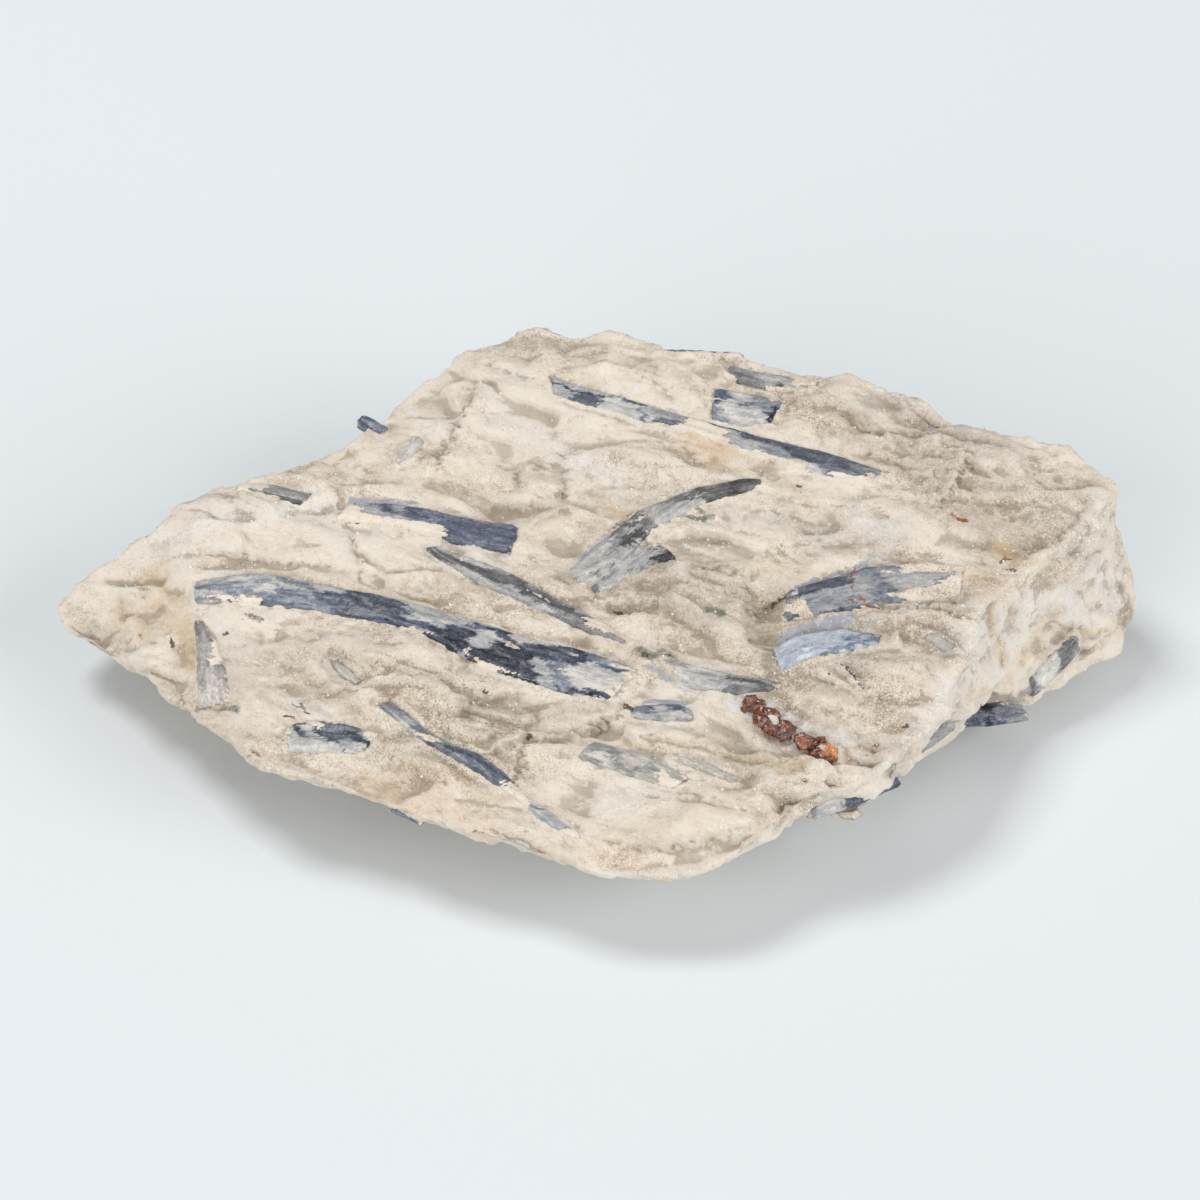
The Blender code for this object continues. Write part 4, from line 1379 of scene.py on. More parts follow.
@dataclass
class Scatter:
    """Small grains set in a surface by Geometry Nodes."""

    name: str
    density: float
    size: float
    flatness: float
    seed: int
    mask: str
    sides: int = 5
    taper: float = 0.62
    height: float = 1.3
    tilt: float = 0.55
    smallest: float = 0.35

    def tree(self, material: bpy.types.Material) -> bpy.types.NodeTree:
        """Build the node group.

        Args:
            material: material of the grains.

        Returns:
            The group, with inputs Density, Size, Flatness and Seed.
        """
        group = bpy.data.node_groups.new(self.name, "GeometryNodeTree")
        face = group.interface
        face.new_socket("Geometry", in_out="INPUT", socket_type="NodeSocketGeometry")
        for label, kind in (("Density", "NodeSocketFloat"), ("Size", "NodeSocketFloat"),
                            ("Flatness", "NodeSocketFloat"), ("Seed", "NodeSocketInt")):
            face.new_socket(label, in_out="INPUT", socket_type=kind)
        face.new_socket("Geometry", in_out="OUTPUT", socket_type="NodeSocketGeometry")
        source = group.nodes.new("NodeGroupInput")

        def add(kind: str, settings: dict[str, Any] | None = None,
                inputs: dict[Any, Any] | None = None) -> bpy.types.Node:
            """Add one node, set it up and feed it."""
            made = group.nodes.new(kind)
            for key, value in (settings or {}).items():
                setattr(made, key, value)
            for key, value in (inputs or {}).items():
                if isinstance(value, bpy.types.NodeSocket):
                    group.links.new(value, made.inputs[key])
                else:
                    made.inputs[key].default_value = value
            return made

        given = source.outputs
        where = add("GeometryNodeInputNamedAttribute", {"data_type": "FLOAT"}, {"Name": self.mask})
        share = add("ShaderNodeMath", {"operation": "MULTIPLY"},
                    {0: given["Density"], 1: where.outputs[0]})
        spread = add("GeometryNodeDistributePointsOnFaces", {},
                     {"Mesh": given["Geometry"], "Density": share.outputs[0], "Seed": given["Seed"]})
        grain = add("GeometryNodeMeshCone", {}, {"Vertices": self.sides, "Radius Top": self.taper,
                                                 "Radius Bottom": 1.0, "Depth": self.height})
        tilt = add("FunctionNodeRandomValue", {"data_type": "FLOAT_VECTOR"},
                   {0: (-self.tilt, -self.tilt, 0.0), 1: (self.tilt, self.tilt, math.tau),
                    "Seed": given["Seed"]})
        angle = add("FunctionNodeEulerToRotation", {}, {0: tilt.outputs[0]})
        turn = add("FunctionNodeRotateRotation", {"rotation_space": "LOCAL"},
                   {0: spread.outputs["Rotation"], 1: angle.outputs[0]})
        size = add("FunctionNodeRandomValue", {"data_type": "FLOAT"},
                   {2: self.smallest, 3: 1.0, "Seed": given["Seed"]})
        real = add("ShaderNodeMath", {"operation": "MULTIPLY"}, {0: size.outputs[1], 1: given["Size"]})
        thick = add("ShaderNodeMath", {"operation": "MULTIPLY"},
                    {0: real.outputs[0], 1: given["Flatness"]})
        shape = add("ShaderNodeCombineXYZ", {},
                    {0: real.outputs[0], 1: real.outputs[0], 2: thick.outputs[0]})
        put = add("GeometryNodeInstanceOnPoints", {},
                  {"Points": spread.outputs["Points"], "Instance": grain.outputs["Mesh"],
                   "Rotation": turn.outputs[0], "Scale": shape.outputs[0]})
        solid = add("GeometryNodeRealizeInstances", {}, {"Geometry": put.outputs["Instances"]})
        dressed = add("GeometryNodeSetMaterial", {}, {"Geometry": solid.outputs["Geometry"],
                                                      "Material": material})
        add("NodeGroupOutput", {}, {"Geometry": dressed.outputs["Geometry"]})
        return group

    def build(self, base: bpy.types.Mesh, material: bpy.types.Material, slot: str) -> bpy.types.Object:
        """Scatter the grains over a mesh.

        Args:
            base: mesh that carries the mask attribute.
            material: material of the grains.
            slot: the record's material slot.

        Returns:
            The finished piece.
        """
        thing = Workshop.piece(self.name + "_base", base.copy())
        modifier = thing.modifiers.new("scatter", "NODES")
        modifier.node_group = self.tree(material)
        for item in modifier.node_group.interface.items_tree:
            value = {"Density": self.density / MM ** 2, "Size": self.size * MM,
                     "Flatness": self.flatness, "Seed": self.seed}.get(item.name)
            if value is not None and item.in_out == "INPUT":
                modifier[item.identifier] = value
        mesh = Workshop.plain(thing, self.name)
        keep = {"position", ".edge_verts", ".corner_vert", ".corner_edge", "sharp_face", "material_index"}
        for name in [a.name for a in mesh.attributes if a.name not in keep]:
            mesh.attributes.remove(mesh.attributes[name])
        made = Workshop.piece(self.name, mesh)
        return Workshop.dress(made, material, slot)


@dataclass(frozen=True)
class Lamp:
    """One square soft light that shines at the object: its place and side, and its watts."""

    name: str
    place_m: tuple[float, float, float]
    side_m: float
    power: float

    def hang(self) -> None:
        """Put the light in the scene."""
        data = bpy.data.lights.new(self.name, "AREA")
        data.size, data.energy = self.side_m, self.power
        thing = bpy.data.objects.new(self.name, data)
        thing.location = self.place_m
        thing.rotation_euler = (-Vector(self.place_m)).to_track_quat("-Z", "Y").to_euler()
        bpy.context.scene.collection.objects.link(thing)


@dataclass
class Studio:
    """Floor, light and camera."""

    target_m: tuple[float, float, float] = (-0.0005, -0.0045, 0.025)
    distance_m: float = 0.560
    elevation: float = 42.0
    lens: float = 100.0
    floor: Colour = (0.735, 0.776, 0.797)
    half_floor_m: float = 6.0
    sky: float = 0.335
    lamps: tuple[Lamp, ...] = (Lamp("key", (-0.90, 0.56, 2.15), 0.75, 25.0),
                               Lamp("right_fill", (2.52, -1.16, 1.20), 2.0, 57.0),
                               Lamp("left_fill", (-1.57, -2.25, 1.22), 2.0, 41.0))

    def camera(self) -> None:
        """Place the camera."""
        data = bpy.data.cameras.new("camera")
        data.lens, data.sensor_width = self.lens, 36.0
        data.clip_start, data.clip_end = 0.01, 20.0
        thing = bpy.data.objects.new("camera", data)
        e = math.radians(self.elevation)
        back = Vector((0.0, -math.cos(e), math.sin(e)))
        thing.location = Vector(self.target_m) + back * self.distance_m
        thing.rotation_euler = (math.pi / 2 - e, 0.0, 0.0)
        bpy.context.scene.collection.objects.link(thing)
        bpy.context.scene.camera = thing

    def build(self) -> None:
        """Make the floor, the lights and the camera."""
        mesh = bpy.data.meshes.new("floor")
        r = self.half_floor_m
        mesh.from_pydata([(-r, -r, 0), (r, -r, 0), (r, r, 0), (-r, r, 0)], [], [(0, 1, 2, 3)])
        floor = Workshop.piece("floor", mesh)
        s = Surface("floor")
        s.set(Base_Color=self.floor, Roughness=0.95, Specular_IOR_Level=0.0)
        mesh.materials.append(s.material)
        world = bpy.data.worlds.new("room")
        world.use_nodes = True
        back = world.node_tree.nodes["Background"]
        back.inputs[0].default_value = (1.0, 1.0, 1.0, 1.0)
        back.inputs[1].default_value = self.sky
        bpy.context.scene.world = world
        bpy.context.scene.view_settings.view_transform = "Standard"
        for lamp in self.lamps:
            lamp.hang()
        self.camera()


Strokes = tuple[tuple[float, ...], ...]

# Each mark: tone (-1 is quartz), start, end and half width.
MARKS: dict[str, Strokes] = {
    "blade_great": (
        (.62, -68.6, 4, -57.7, .6, 1.33), (-1, -70.2, 6.1, -58, 3.8, .8),
        (.3, -69.4, 1.1, -61.9, -1, .53), (.33, -65.8, -2.1, -61.3, -2.7, .48),
        (-1, -67.3, -1.3, -62.7, -2.1, .53), (-1, -60.8, -2.4, -57.5, -2.9, 1.07),
        (.38, -59.1, 1.3, -56.7, .7, .67), (.3, -54.2, .8, -49.2, -.5, .53),
        (.78, -57.6, -.5, -46, -2.7, .67), (.22, -54.2, -1.9, -50.7, -2.7, 1.07),
        (.34, -51.1, -2.7, -43.4, -4.1, 1.33), (.26, -57.5, -3.2, -53.9, -3.7, .75),
        (.4, -52.4, -4.1, -45.5, -5.9, .85), (.12, -46.7, -2.9, -44.8, -3.6, 1.47),
        (.18, -44.8, -6.1, -42.4, -7, 1.07), (.08, -41.5, -5.1, -36.3, -7.3, 2.93),
        (.12, -42.5, -7.2, -38.7, -8.4, 1.07), (.22, -36.7, -7.7, -33.9, -9, 1.87),
        (.8, -42.3, -2.8, -43.1, -6, .24), (.72, -33.7, -6.7, -28.6, -8.8, 1.07),
        (.24, -32.6, -9.8, -29.2, -10, .8), (-1, -33.5, -11.4, -29.8, -12.9, 1.6),
        (-1, -29.1, -14.7, -26.1, -15.7, 1.07), (.1, -29.7, -11.9, -26.8, -13.3, .64),
        (.08, -28.3, -11.1, -25.7, -11.7, .8), (.02, -25.3, -11.7, -22.1, -13.2, 1.73),
        (.06, -27, -13.5, -22.7, -15.2, .69), (.2, -29, -7.3, -22.9, -9.7, .24),
        (.12, -23.2, -9.6, -16.2, -11.5, .51), (.1, -17.2, -11.6, -15.8, -13.4, .85),
        (.66, -21.4, -13.4, -17.1, -14.1, 1.2), (-1, -22.1, -15.6, -21, -17.7, .8),
        (.03, -21, -16.5, -16.7, -16.4, 1.47), (.02, -16.7, -15.8, -11.4, -16.9, 2.27),
        (.1, -19, -18.4, -15, -19, .75), (.04, -14.7, -19.2, -10.9, -20.4, 1.87),
        (-1, -20.7, -18.2, -15, -21.1, .93), (.02, -16.8, -20, -11.4, -22.4, .48),
        (.1, -12.4, -15.2, -6.8, -16.9, 1.47), (.62, -10.8, -17.7, -9.4, -23.3, .85),
        (.34, -8.1, -18.7, -6.1, -24, 1.2), (.7, -9.1, -19.5, -8.4, -23.3, .53),
        (.06, -8.1, -15.2, -3.2, -16.1, .64), (.05, -5.1, -18, -2.3, -17.3, 1.07),
        (.34, -2.2, -16.9, .5, -18, .69), (.9, -5.1, -21.1, -.5, -23.9, 1.6),
        (.82, .2, -20.6, 4.4, -21.8, 2.13), (.06, -7.1, -23.9, -.2, -25.2, .29),
        (.45, -.2, -18.4, 4.9, -19.1, .43), (-1, -11, -23.8, -7.7, -25, .8),
        (-1, .5, -25.2, 4.7, -25, .8), (-1, -26.2, -16.6, -18.3, -20.5, 1.07),
        (-1, 2.8, -26.6, 6.1, -19, 1.33), (-1, -69.3, 4, -58, 3.8, .67),
        (.62, -33.3, -6.5, -22.9, -9.2, .85), (.1, -42.2, -3.8, -35.3, -7, 2.4),
        (.1, -42.1, -6.3, -33.9, -9.5, 1.6), (.55, -43.4, -3.3, -42.1, -7.1, .32),
        (.42, -7.1, -18.3, -6.1, -23.7, .53), (.2, .5, -19.4, 3.8, -20.4, .4),
        (.16, -2.5, -24.2, .5, -25, .32), (.5, -69.4, 4.1, -61.5, .6, .32),
        (.55, -68.9, -1.4, -61.9, -3.4, .67), (.28, -46, -2.7, -42.6, -4.2, .8),
        (.34, -67.7, 1.1, -59.3, -1.2, .53), (.28, -60, -1.5, -51, -3.7, .69),
        (.1, -44.9, -4.3, -42.1, -6.3, 1.07),
    ),
    "blade_left_upper": (
        (.24, -25.9, 12, -15.5, 8.9, 3.2), (.62, -42.7, 18.8, -39.5, 17.4, 1.33),
        (.42, -39.7, 18.6, -38, 18, 1.07), (.22, -37.4, 17.5, -35.7, 17.1, 1.33),
        (.5, -35, 17.3, -33.6, 16.5, 1.07), (.15, -32.7, 16, -30.4, 15.2, 1.47),
        (.32, -30.3, 16.2, -27, 15.2, 1.2), (-1, -43.2, 14.7, -28.6, 11, 2),
        (-1, -44.2, 15.6, -39.7, 14.7, .8), (.2, -27.9, 11.6, -26.2, 11.1, .48),
        (.15, -40.4, 14.1, -38.7, 13.9, .27), (.15, -37.5, 13.6, -36.8, 13.5, .24),
        (.6, -22.9, 16.2, -15.1, 14.1, .29), (-1, -46.3, 14.6, -43.6, 17, 1.87),
        (-1, -39.7, 12.8, -27.9, 10.4, 1.6),
    ),
    "blade_left_rim": (
        (.42, -61.2, 21.6, -50.7, 20.5, .67), (.22, -58.4, 20.5, -52.3, 18.3, .4),
        (.2, -55.4, 18.3, -50.7, 17.3, .8), (-1, -59, 19.4, -55, 17.5, .93),
        (-1, -64, 22.1, -59.2, 23, 1.07), (-1, -63.3, 21.4, -55.8, 18.8, .8),
    ),
    "blade_slender": (
        (.24, -29.9, 7.7, -20.5, 2, .8), (.18, -20.5, 2, -13.7, -1.2, 1.07),
        (.22, -13.7, -1.2, -8.6, -4.6, .93), (.2, -8.6, -4.6, -3.2, -9.1, .53),
        (.6, -23.9, 1.4, -17.4, -2.4, 1.07), (.52, -17.4, -2.4, -10.6, -6.4, 1.33),
        (.6, -10.6, -6.4, -7.9, -7.6, 1.07), (.34, -7.7, -8.3, -3.8, -10.4, 1.2),
        (-1, -3.2, -9.4, -2.5, -11.3, .4), (.36, -2.5, -11.3, -.2, -12.6, .93),
        (.4, -.2, -12.4, 3.5, -14.1, .69), (-1, -1.8, -9.6, 5.2, -13.4, 1.2),
        (.14, -14, -2.4, -3.2, -9.8, .53),
    ),
    "blade_curved": (
        (.22, 15.7, 17.5, 25.7, 19.4, 1.87), (.14, 14.9, 15.5, 22.7, 17.8, .53),
        (.1, 18.9, 21.3, 25.7, 20.1, .4), (.34, 8.1, 16.7, 15, 17.9, 1.33),
        (.72, 14, 19.7, 15.3, 14.7, .21), (.72, 15.4, 19.2, 17, 15.5, .19),
        (.62, 8.1, 12.9, 16.7, 15.1, 1.07), (.22, -.5, 9.7, 6.4, 14.1, .43),
        (.26, .5, 10.3, 4.1, 11.5, .93), (.5, -2.2, 5.2, 1.5, 7.4, .8),
        (.62, -5.2, 2.4, -.5, 6.1, 1.07), (.7, -6.2, .2, -.5, 1.1, 1.6), (.12, 3.6, 7.3, 8, 9.6, 1.2),
        (.14, 7.7, 9.3, 8.8, 6.5, 1.07), (.62, 1.2, 3.3, 8.9, 6.8, .8), (.36, -.5, .6, 9.7, 4.8, .32),
        (.6, -.5, -1.1, 9.7, 3.8, .8), (.05, 9.6, 2.8, 11.7, 3.4, 1.2),
        (.3, -2.2, -2.3, -.8, -2.8, .67), (-1, -6.2, -2, -2.2, -2.3, .8),
        (.14, 1.6, 13.1, 5, 15.3, .59), (.3, 6.3, 12.2, 8.4, 10.1, 1.07),
        (-1, 5.7, 11.9, 8.4, 13.4, .4), (-1, 8, 9.6, 9, 6, .4), (.62, -2.2, 4.2, 1.2, 8.6, .4),
        (.4, 1.5, 5.2, 3.3, 10.5, .8), (.3, -.5, .4, 1.9, 2.3, .59), (.62, .5, .5, 8, 4, 1.07),
        (.05, 9.3, 2.7, 11.9, 3.5, 1.33), (.45, 4.6, .7, 8.8, 2.5, .4),
    ),
    "blade_back_long": (
        (.04, -9, 43.9, 6.6, 39.1, .27), (.04, 6.6, 39.1, 20.9, 33.4, .24),
        (.04, 20.9, 33.4, 34.3, 29.2, .24), (.04, 34.3, 29.2, 47.6, 23.2, .27),
        (.74, -8.6, 42.1, -5.4, 41, 1.33), (.18, -4, 40.5, .6, 38.6, 1.73),
        (.8, 1.3, 38.8, 6.5, 36.6, 1.87), (.3, 6.7, 37.6, 7.4, 35.5, .64),
        (.7, 8.3, 37.4, 10.4, 35, 1.6), (.48, 10.4, 37.4, 14.3, 35.9, .93),
        (.2, 10.7, 34.5, 14.2, 32.7, 1.2), (-1, 15.3, 34, 21.1, 30.3, 1.87),
        (.62, 22.2, 30.5, 26.6, 27.9, 1.33), (.2, 25, 31.4, 34.3, 28.1, 1.2),
        (.48, 28.1, 26.6, 31, 25.3, .93), (.04, 32.5, 27.6, 34.6, 27, .69),
        (.18, 34.2, 26.2, 44.7, 21.5, 1.87), (.86, 33.4, 23.5, 37.1, 21.9, 1.07),
        (.34, 37.8, 22.7, 41.7, 20.6, 1.07), (.36, 44, 22.3, 47.4, 20.7, 1.07),
        (-1, 46.3, 19.9, 48.4, 18.8, 1.07), (-1, -9, 39.8, 15.2, 31.8, .85),
        (-1, 20.4, 28.2, 34.1, 22.4, 1.2), (-1, 17, 32.1, 19, 30.1, 2.13),
        (-1, 40.2, 20.3, 47.3, 18.5, .8),
    ),
    "blade_square": (
        (.18, 19, 42.4, 21.2, 38.8, 1.87), (.4, 19.9, 37.1, 21.8, 35, 1.6),
        (.82, 22.7, 37.1, 27.5, 33.6, 2.4), (.26, 24.8, 37.9, 28, 38.3, .93),
        (.45, 28.5, 38.5, 30.4, 36.1, 1.87), (.03, 28.2, 33.4, 31.4, 35.2, 1.87),
        (.8, 24.9, 36.1, 27.5, 34.6, 1.33), (-1, 30.5, 39.8, 32.3, 39.6, 1.33),
    ),
    "blade_rim_mass": (
        (.3, 22.2, 45.2, 25.7, 43.4, 1.33), (.42, 25, 42.8, 28.4, 40.1, 1.6),
        (.5, 29.9, 42.4, 34.1, 41.2, 1.33), (.12, 30.4, 42.6, 31.3, 41.8, .43),
        (-1, 34.8, 43.1, 38.7, 42, 1.6), (-1, 28.5, 40.9, 34.8, 40.8, .8),
        (-1, 20.8, 45.2, 22.2, 43.8, 1.07),
    ),
    "blade_broad": (
        (.3, 30.6, -4.5, 32, -9.3, 1.07), (.18, 33, -4.3, 40.8, -2.1, 1.6),
        (.26, 40.8, -2.1, 44.4, .9, 1.07), (.78, 32.6, -2.7, 32.6, -6.3, .27),
        (.5, 35.9, -7.4, 41.6, -6.4, 1.6), (.58, 41.7, -5.1, 44.4, -3.9, 1.33),
        (.16, 35.8, -10.7, 40.5, -9.3, .8), (.4, 40.5, -9.2, 44.8, -8.5, .8),
        (-1, 32.4, -7.9, 34.8, -11.2, 1.33), (-1, 44.8, -10.2, 52.9, -8.1, 1.6),
        (.4, 46.3, -.3, 49.3, .1, 1.07), (-1, 50.1, 2, 60.2, 1.6, 1.33),
        (.5, 46, -5.7, 47.9, -7.6, 1.6), (.66, 50.6, -3.4, 57.4, -2.4, 1.87),
        (.4, 56.8, -3.9, 58, -4.9, 1.07), (-1, 53.7, -7.6, 60.4, -3.6, 1.6),
        (-1, 29.5, -9.6, 31.2, -8.2, .8), (-1, 50.8, .1, 60, -.4, 1.33),
        (-1, 48.7, -7.6, 56.3, -6.1, 1.33), (.34, 44.5, -1.2, 47, -5.4, 1.33),
        (.3, 46.9, -7.5, 49.5, -8.1, .8), (.45, 43.5, -1.6, 46.4, -4.5, 1.07),
        (.42, 47.2, -8.4, 49.5, -8.1, 1.07),
    ),
    "blade_bright": (
        (.7, 29.8, -13.2, 39.4, -11.1, 2.13), (.62, 29.5, -17.8, 40.8, -15.4, 1.87),
        (.3, 40.2, -15.3, 44.5, -13.3, .93), (.26, 33.7, -20, 46.2, -15.1, .53),
        (.55, 29.1, -20.8, 36.7, -19.4, .53), (.58, 29.4, -21.5, 34.4, -19.8, .8),
        (.9, 32.5, -17.5, 33.5, -17.5, .53), (.92, 30.4, -12.7, 32.8, -11.6, .4),
        (.9, 37.1, -16.5, 38.2, -15.6, .53), (-1, 38.1, -11.5, 41.1, -11.2, 1.07),
    ),
    "blade_front": (
        (.34, -35.3, -25.7, -32.6, -28.2, 1.6), (.5, -34.6, -28.2, -31.8, -31.1, 1.07),
        (.6, -31.9, -29.5, -29.8, -31.3, 1.07), (.3, -30.5, -30.8, -29.1, -32.4, 1.07),
        (.26, -29.8, -33.3, -26.4, -36.1, 1.07), (.36, -26.4, -35.6, -22.7, -38.6, 1.33),
        (.18, -25.1, -36, -19.9, -37.8, .8), (.22, -20.5, -39.4, -15.9, -42.5, 1.87),
        (.8, -24.4, -39.5, -14.6, -45.3, .37), (.84, -29.7, -35.3, -24.4, -39.5, .32),
        (-1, -15.6, -44.4, -13.3, -46.6, 1.07), (.62, -12, -47.9, -6.5, -52.4, 1.07),
        (.5, -7.6, -51.7, -5.9, -52.9, .93), (.16, -13.3, -46.7, -9.3, -48.3, .27),
        (-1, -32.7, -25.9, -28.7, -29.1, .53), (-1, -14.6, -43.5, -12.3, -46.8, 1.07),
        (-1, -5.9, -52.9, -3, -53, .8), (.72, -33.2, -29.6, -29.1, -33.9, .37),
        (-1, -29.8, -32.4, -27.1, -33.9, .59),
    ),
    "blade_mossy": (
        (.4, -2.1, -36.3, 1.4, -37.3, 1.07), (.82, -1.1, -38.2, 2.4, -39.5, 1.07),
        (.38, -2.8, -38.6, -.5, -39.6, .43), (.42, 2.4, -38.7, 4.3, -40.7, 1.33),
        (.74, 4.3, -39.5, 5.9, -41.1, 1.07), (.42, 5.9, -41.1, 8.5, -40.5, .8),
        (.66, 5.9, -42.5, 9.8, -43.8, 1.07), (-1, 9.1, -42.1, 11, -44.1, 1.07),
    ),
    "blade_stub": (
        (.3, 3.1, -26.4, 5.1, -28, 1.07), (.36, 5.4, -26.8, 7.3, -28.9, .8),
        (.1, 7, -26.6, 9, -27.9, 1.07), (.64, 9, -28.5, 10.9, -30.1, 1.07),
        (.22, 10.3, -26.6, 12.9, -28.7, 1.07), (.8, 11.2, -29.6, 13.8, -30.4, .8),
    ),
    "blade_grey": (
        (.74, 10, -20, 15.9, -24.4, 1.87), (.66, 15.9, -23.4, 19.8, -24.9, 1.6),
        (.6, 19.8, -24.2, 23.2, -25.3, 1.07), (.3, 20.5, -25.2, 25.7, -25.4, .8),
        (.22, 20.5, -22.7, 24.4, -23.5, .53), (.16, 24.4, -23.8, 29.3, -25.7, .59),
        (.34, 23.2, -24.9, 28.1, -26.3, 1.07), (.5, 10.1, -17.1, 13.3, -19.3, 1.07),
        (-1, 8.6, -18.2, 11, -21.1, 1.07), (-1, 27.9, -26.3, 30, -24.9, .8),
    ),
    "blade_mica": (
        (.6, -52.4, -31.8, -49.3, -34.3, 1.87), (.7, -49.3, -34.3, -46.2, -36.5, 1.6),
        (.12, -52.3, -26.4, -50.1, -27.4, .53), (.3, -46.7, -28, -44.2, -31, 1.33),
        (.8, -44.2, -31, -42.7, -34.7, 1.07), (.14, -42.7, -29.4, -40.3, -31.3, 1.07),
        (.1, -40.9, -31.7, -38.5, -34.5, 1.07), (.7, -41.1, -35, -39.2, -35, 1.07),
        (.45, -48.5, -30.9, -45.4, -33.7, .8), (-1, -37.8, -29.8, -35.9, -34.7, 1.33),
        (-1, -49.2, -35.8, -42.7, -36, .8), (-1, -53.1, -30.7, -51.9, -34.9, 1.07),
        (-1, -44.8, -27.9, -37.8, -29.8, .53), (-1, -52.7, -26.9, -52.5, -29.8, 1.07),
        (.08, -51.8, -26.4, -49.2, -30.6, .59), (-1, -48.8, -26.6, -46.7, -29, 1.07),
        (.1, -47, -29.4, -44.8, -32.6, .43), (.84, -49.9, -33.6, -45.6, -36.1, 2.4),
        (.22, -44.6, -30.1, -42.1, -33.2, 1.33), (.55, -42.1, -33.2, -41.1, -35.2, 1.07),
        (.06, -40.9, -32.1, -37.3, -33.9, .32), (.08, -41.7, -35, -37.5, -36.2, .32),
        (.8, -40.5, -33.3, -38.5, -34.2, .37), (.75, -41.1, -35.2, -39.2, -35.2, .32),
    ),
    "blade_glassy": (
        (.3, -68.4, -5.6, -66.9, -10, 1.33), (.42, -67.5, -10.2, -65.9, -14.4, 1.33),
        (.5, -67.1, -14.5, -65.8, -19.9, .8), (.7, -65.4, -16.1, -64.3, -22.2, .8),
        (.44, -63.6, -16.1, -62.8, -19.4, 1.07), (.62, -63.5, -19.6, -62.2, -23.1, 1.07),
        (-1, -63.6, -9, -64.5, -14.2, 1.33), (-1, -61.9, -14.1, -61.3, -22.4, .8),
    ),
    "blade_needle": (
        (-1, 40.5, -20.2, 43.2, -26.3, .64),
    ),
    "blade_wall_plate": (
        (-1, 80.5, -.8, 82.5, -.3, 1.6), (-1, 72.5, -8.1, 75.9, -3.7, .8),
        (.34, 71.5, -10.2, 74.3, -8.9, 1.87), (.3, 76.4, -6.4, 79.6, -3.8, 1.33),
        (.78, 75.4, -8.1, 77.2, -6.5, 1.07), (.8, 74.3, -8.4, 76.8, -6.2, 1.07),
    ),
    "blade_wall_low": (
        (.06, 58.8, -22.9, 62, -20.1, 1.07), (.08, 64.5, -13.6, 67.2, -13.8, .8),
        (.42, 59.3, -20.1, 68, -15, 1.07), (.1, 59.9, -16.8, 68, -15.4, .32),
        (-1, 68.3, -12.3, 72.7, -10.7, .53), (.46, 67.2, -14.2, 71.3, -14.3, 1.07),
        (.03, 59.2, -22.7, 64, -16.7, .67),
    ),
    "blade_foot": (
        (.78, 34.9, -44.3, 40.2, -39.8, 1.87), (.16, 41, -39.5, 47.3, -35.9, 1.87),
        (.55, 38, -44.2, 40.8, -42.7, 1.07),
    ),
}

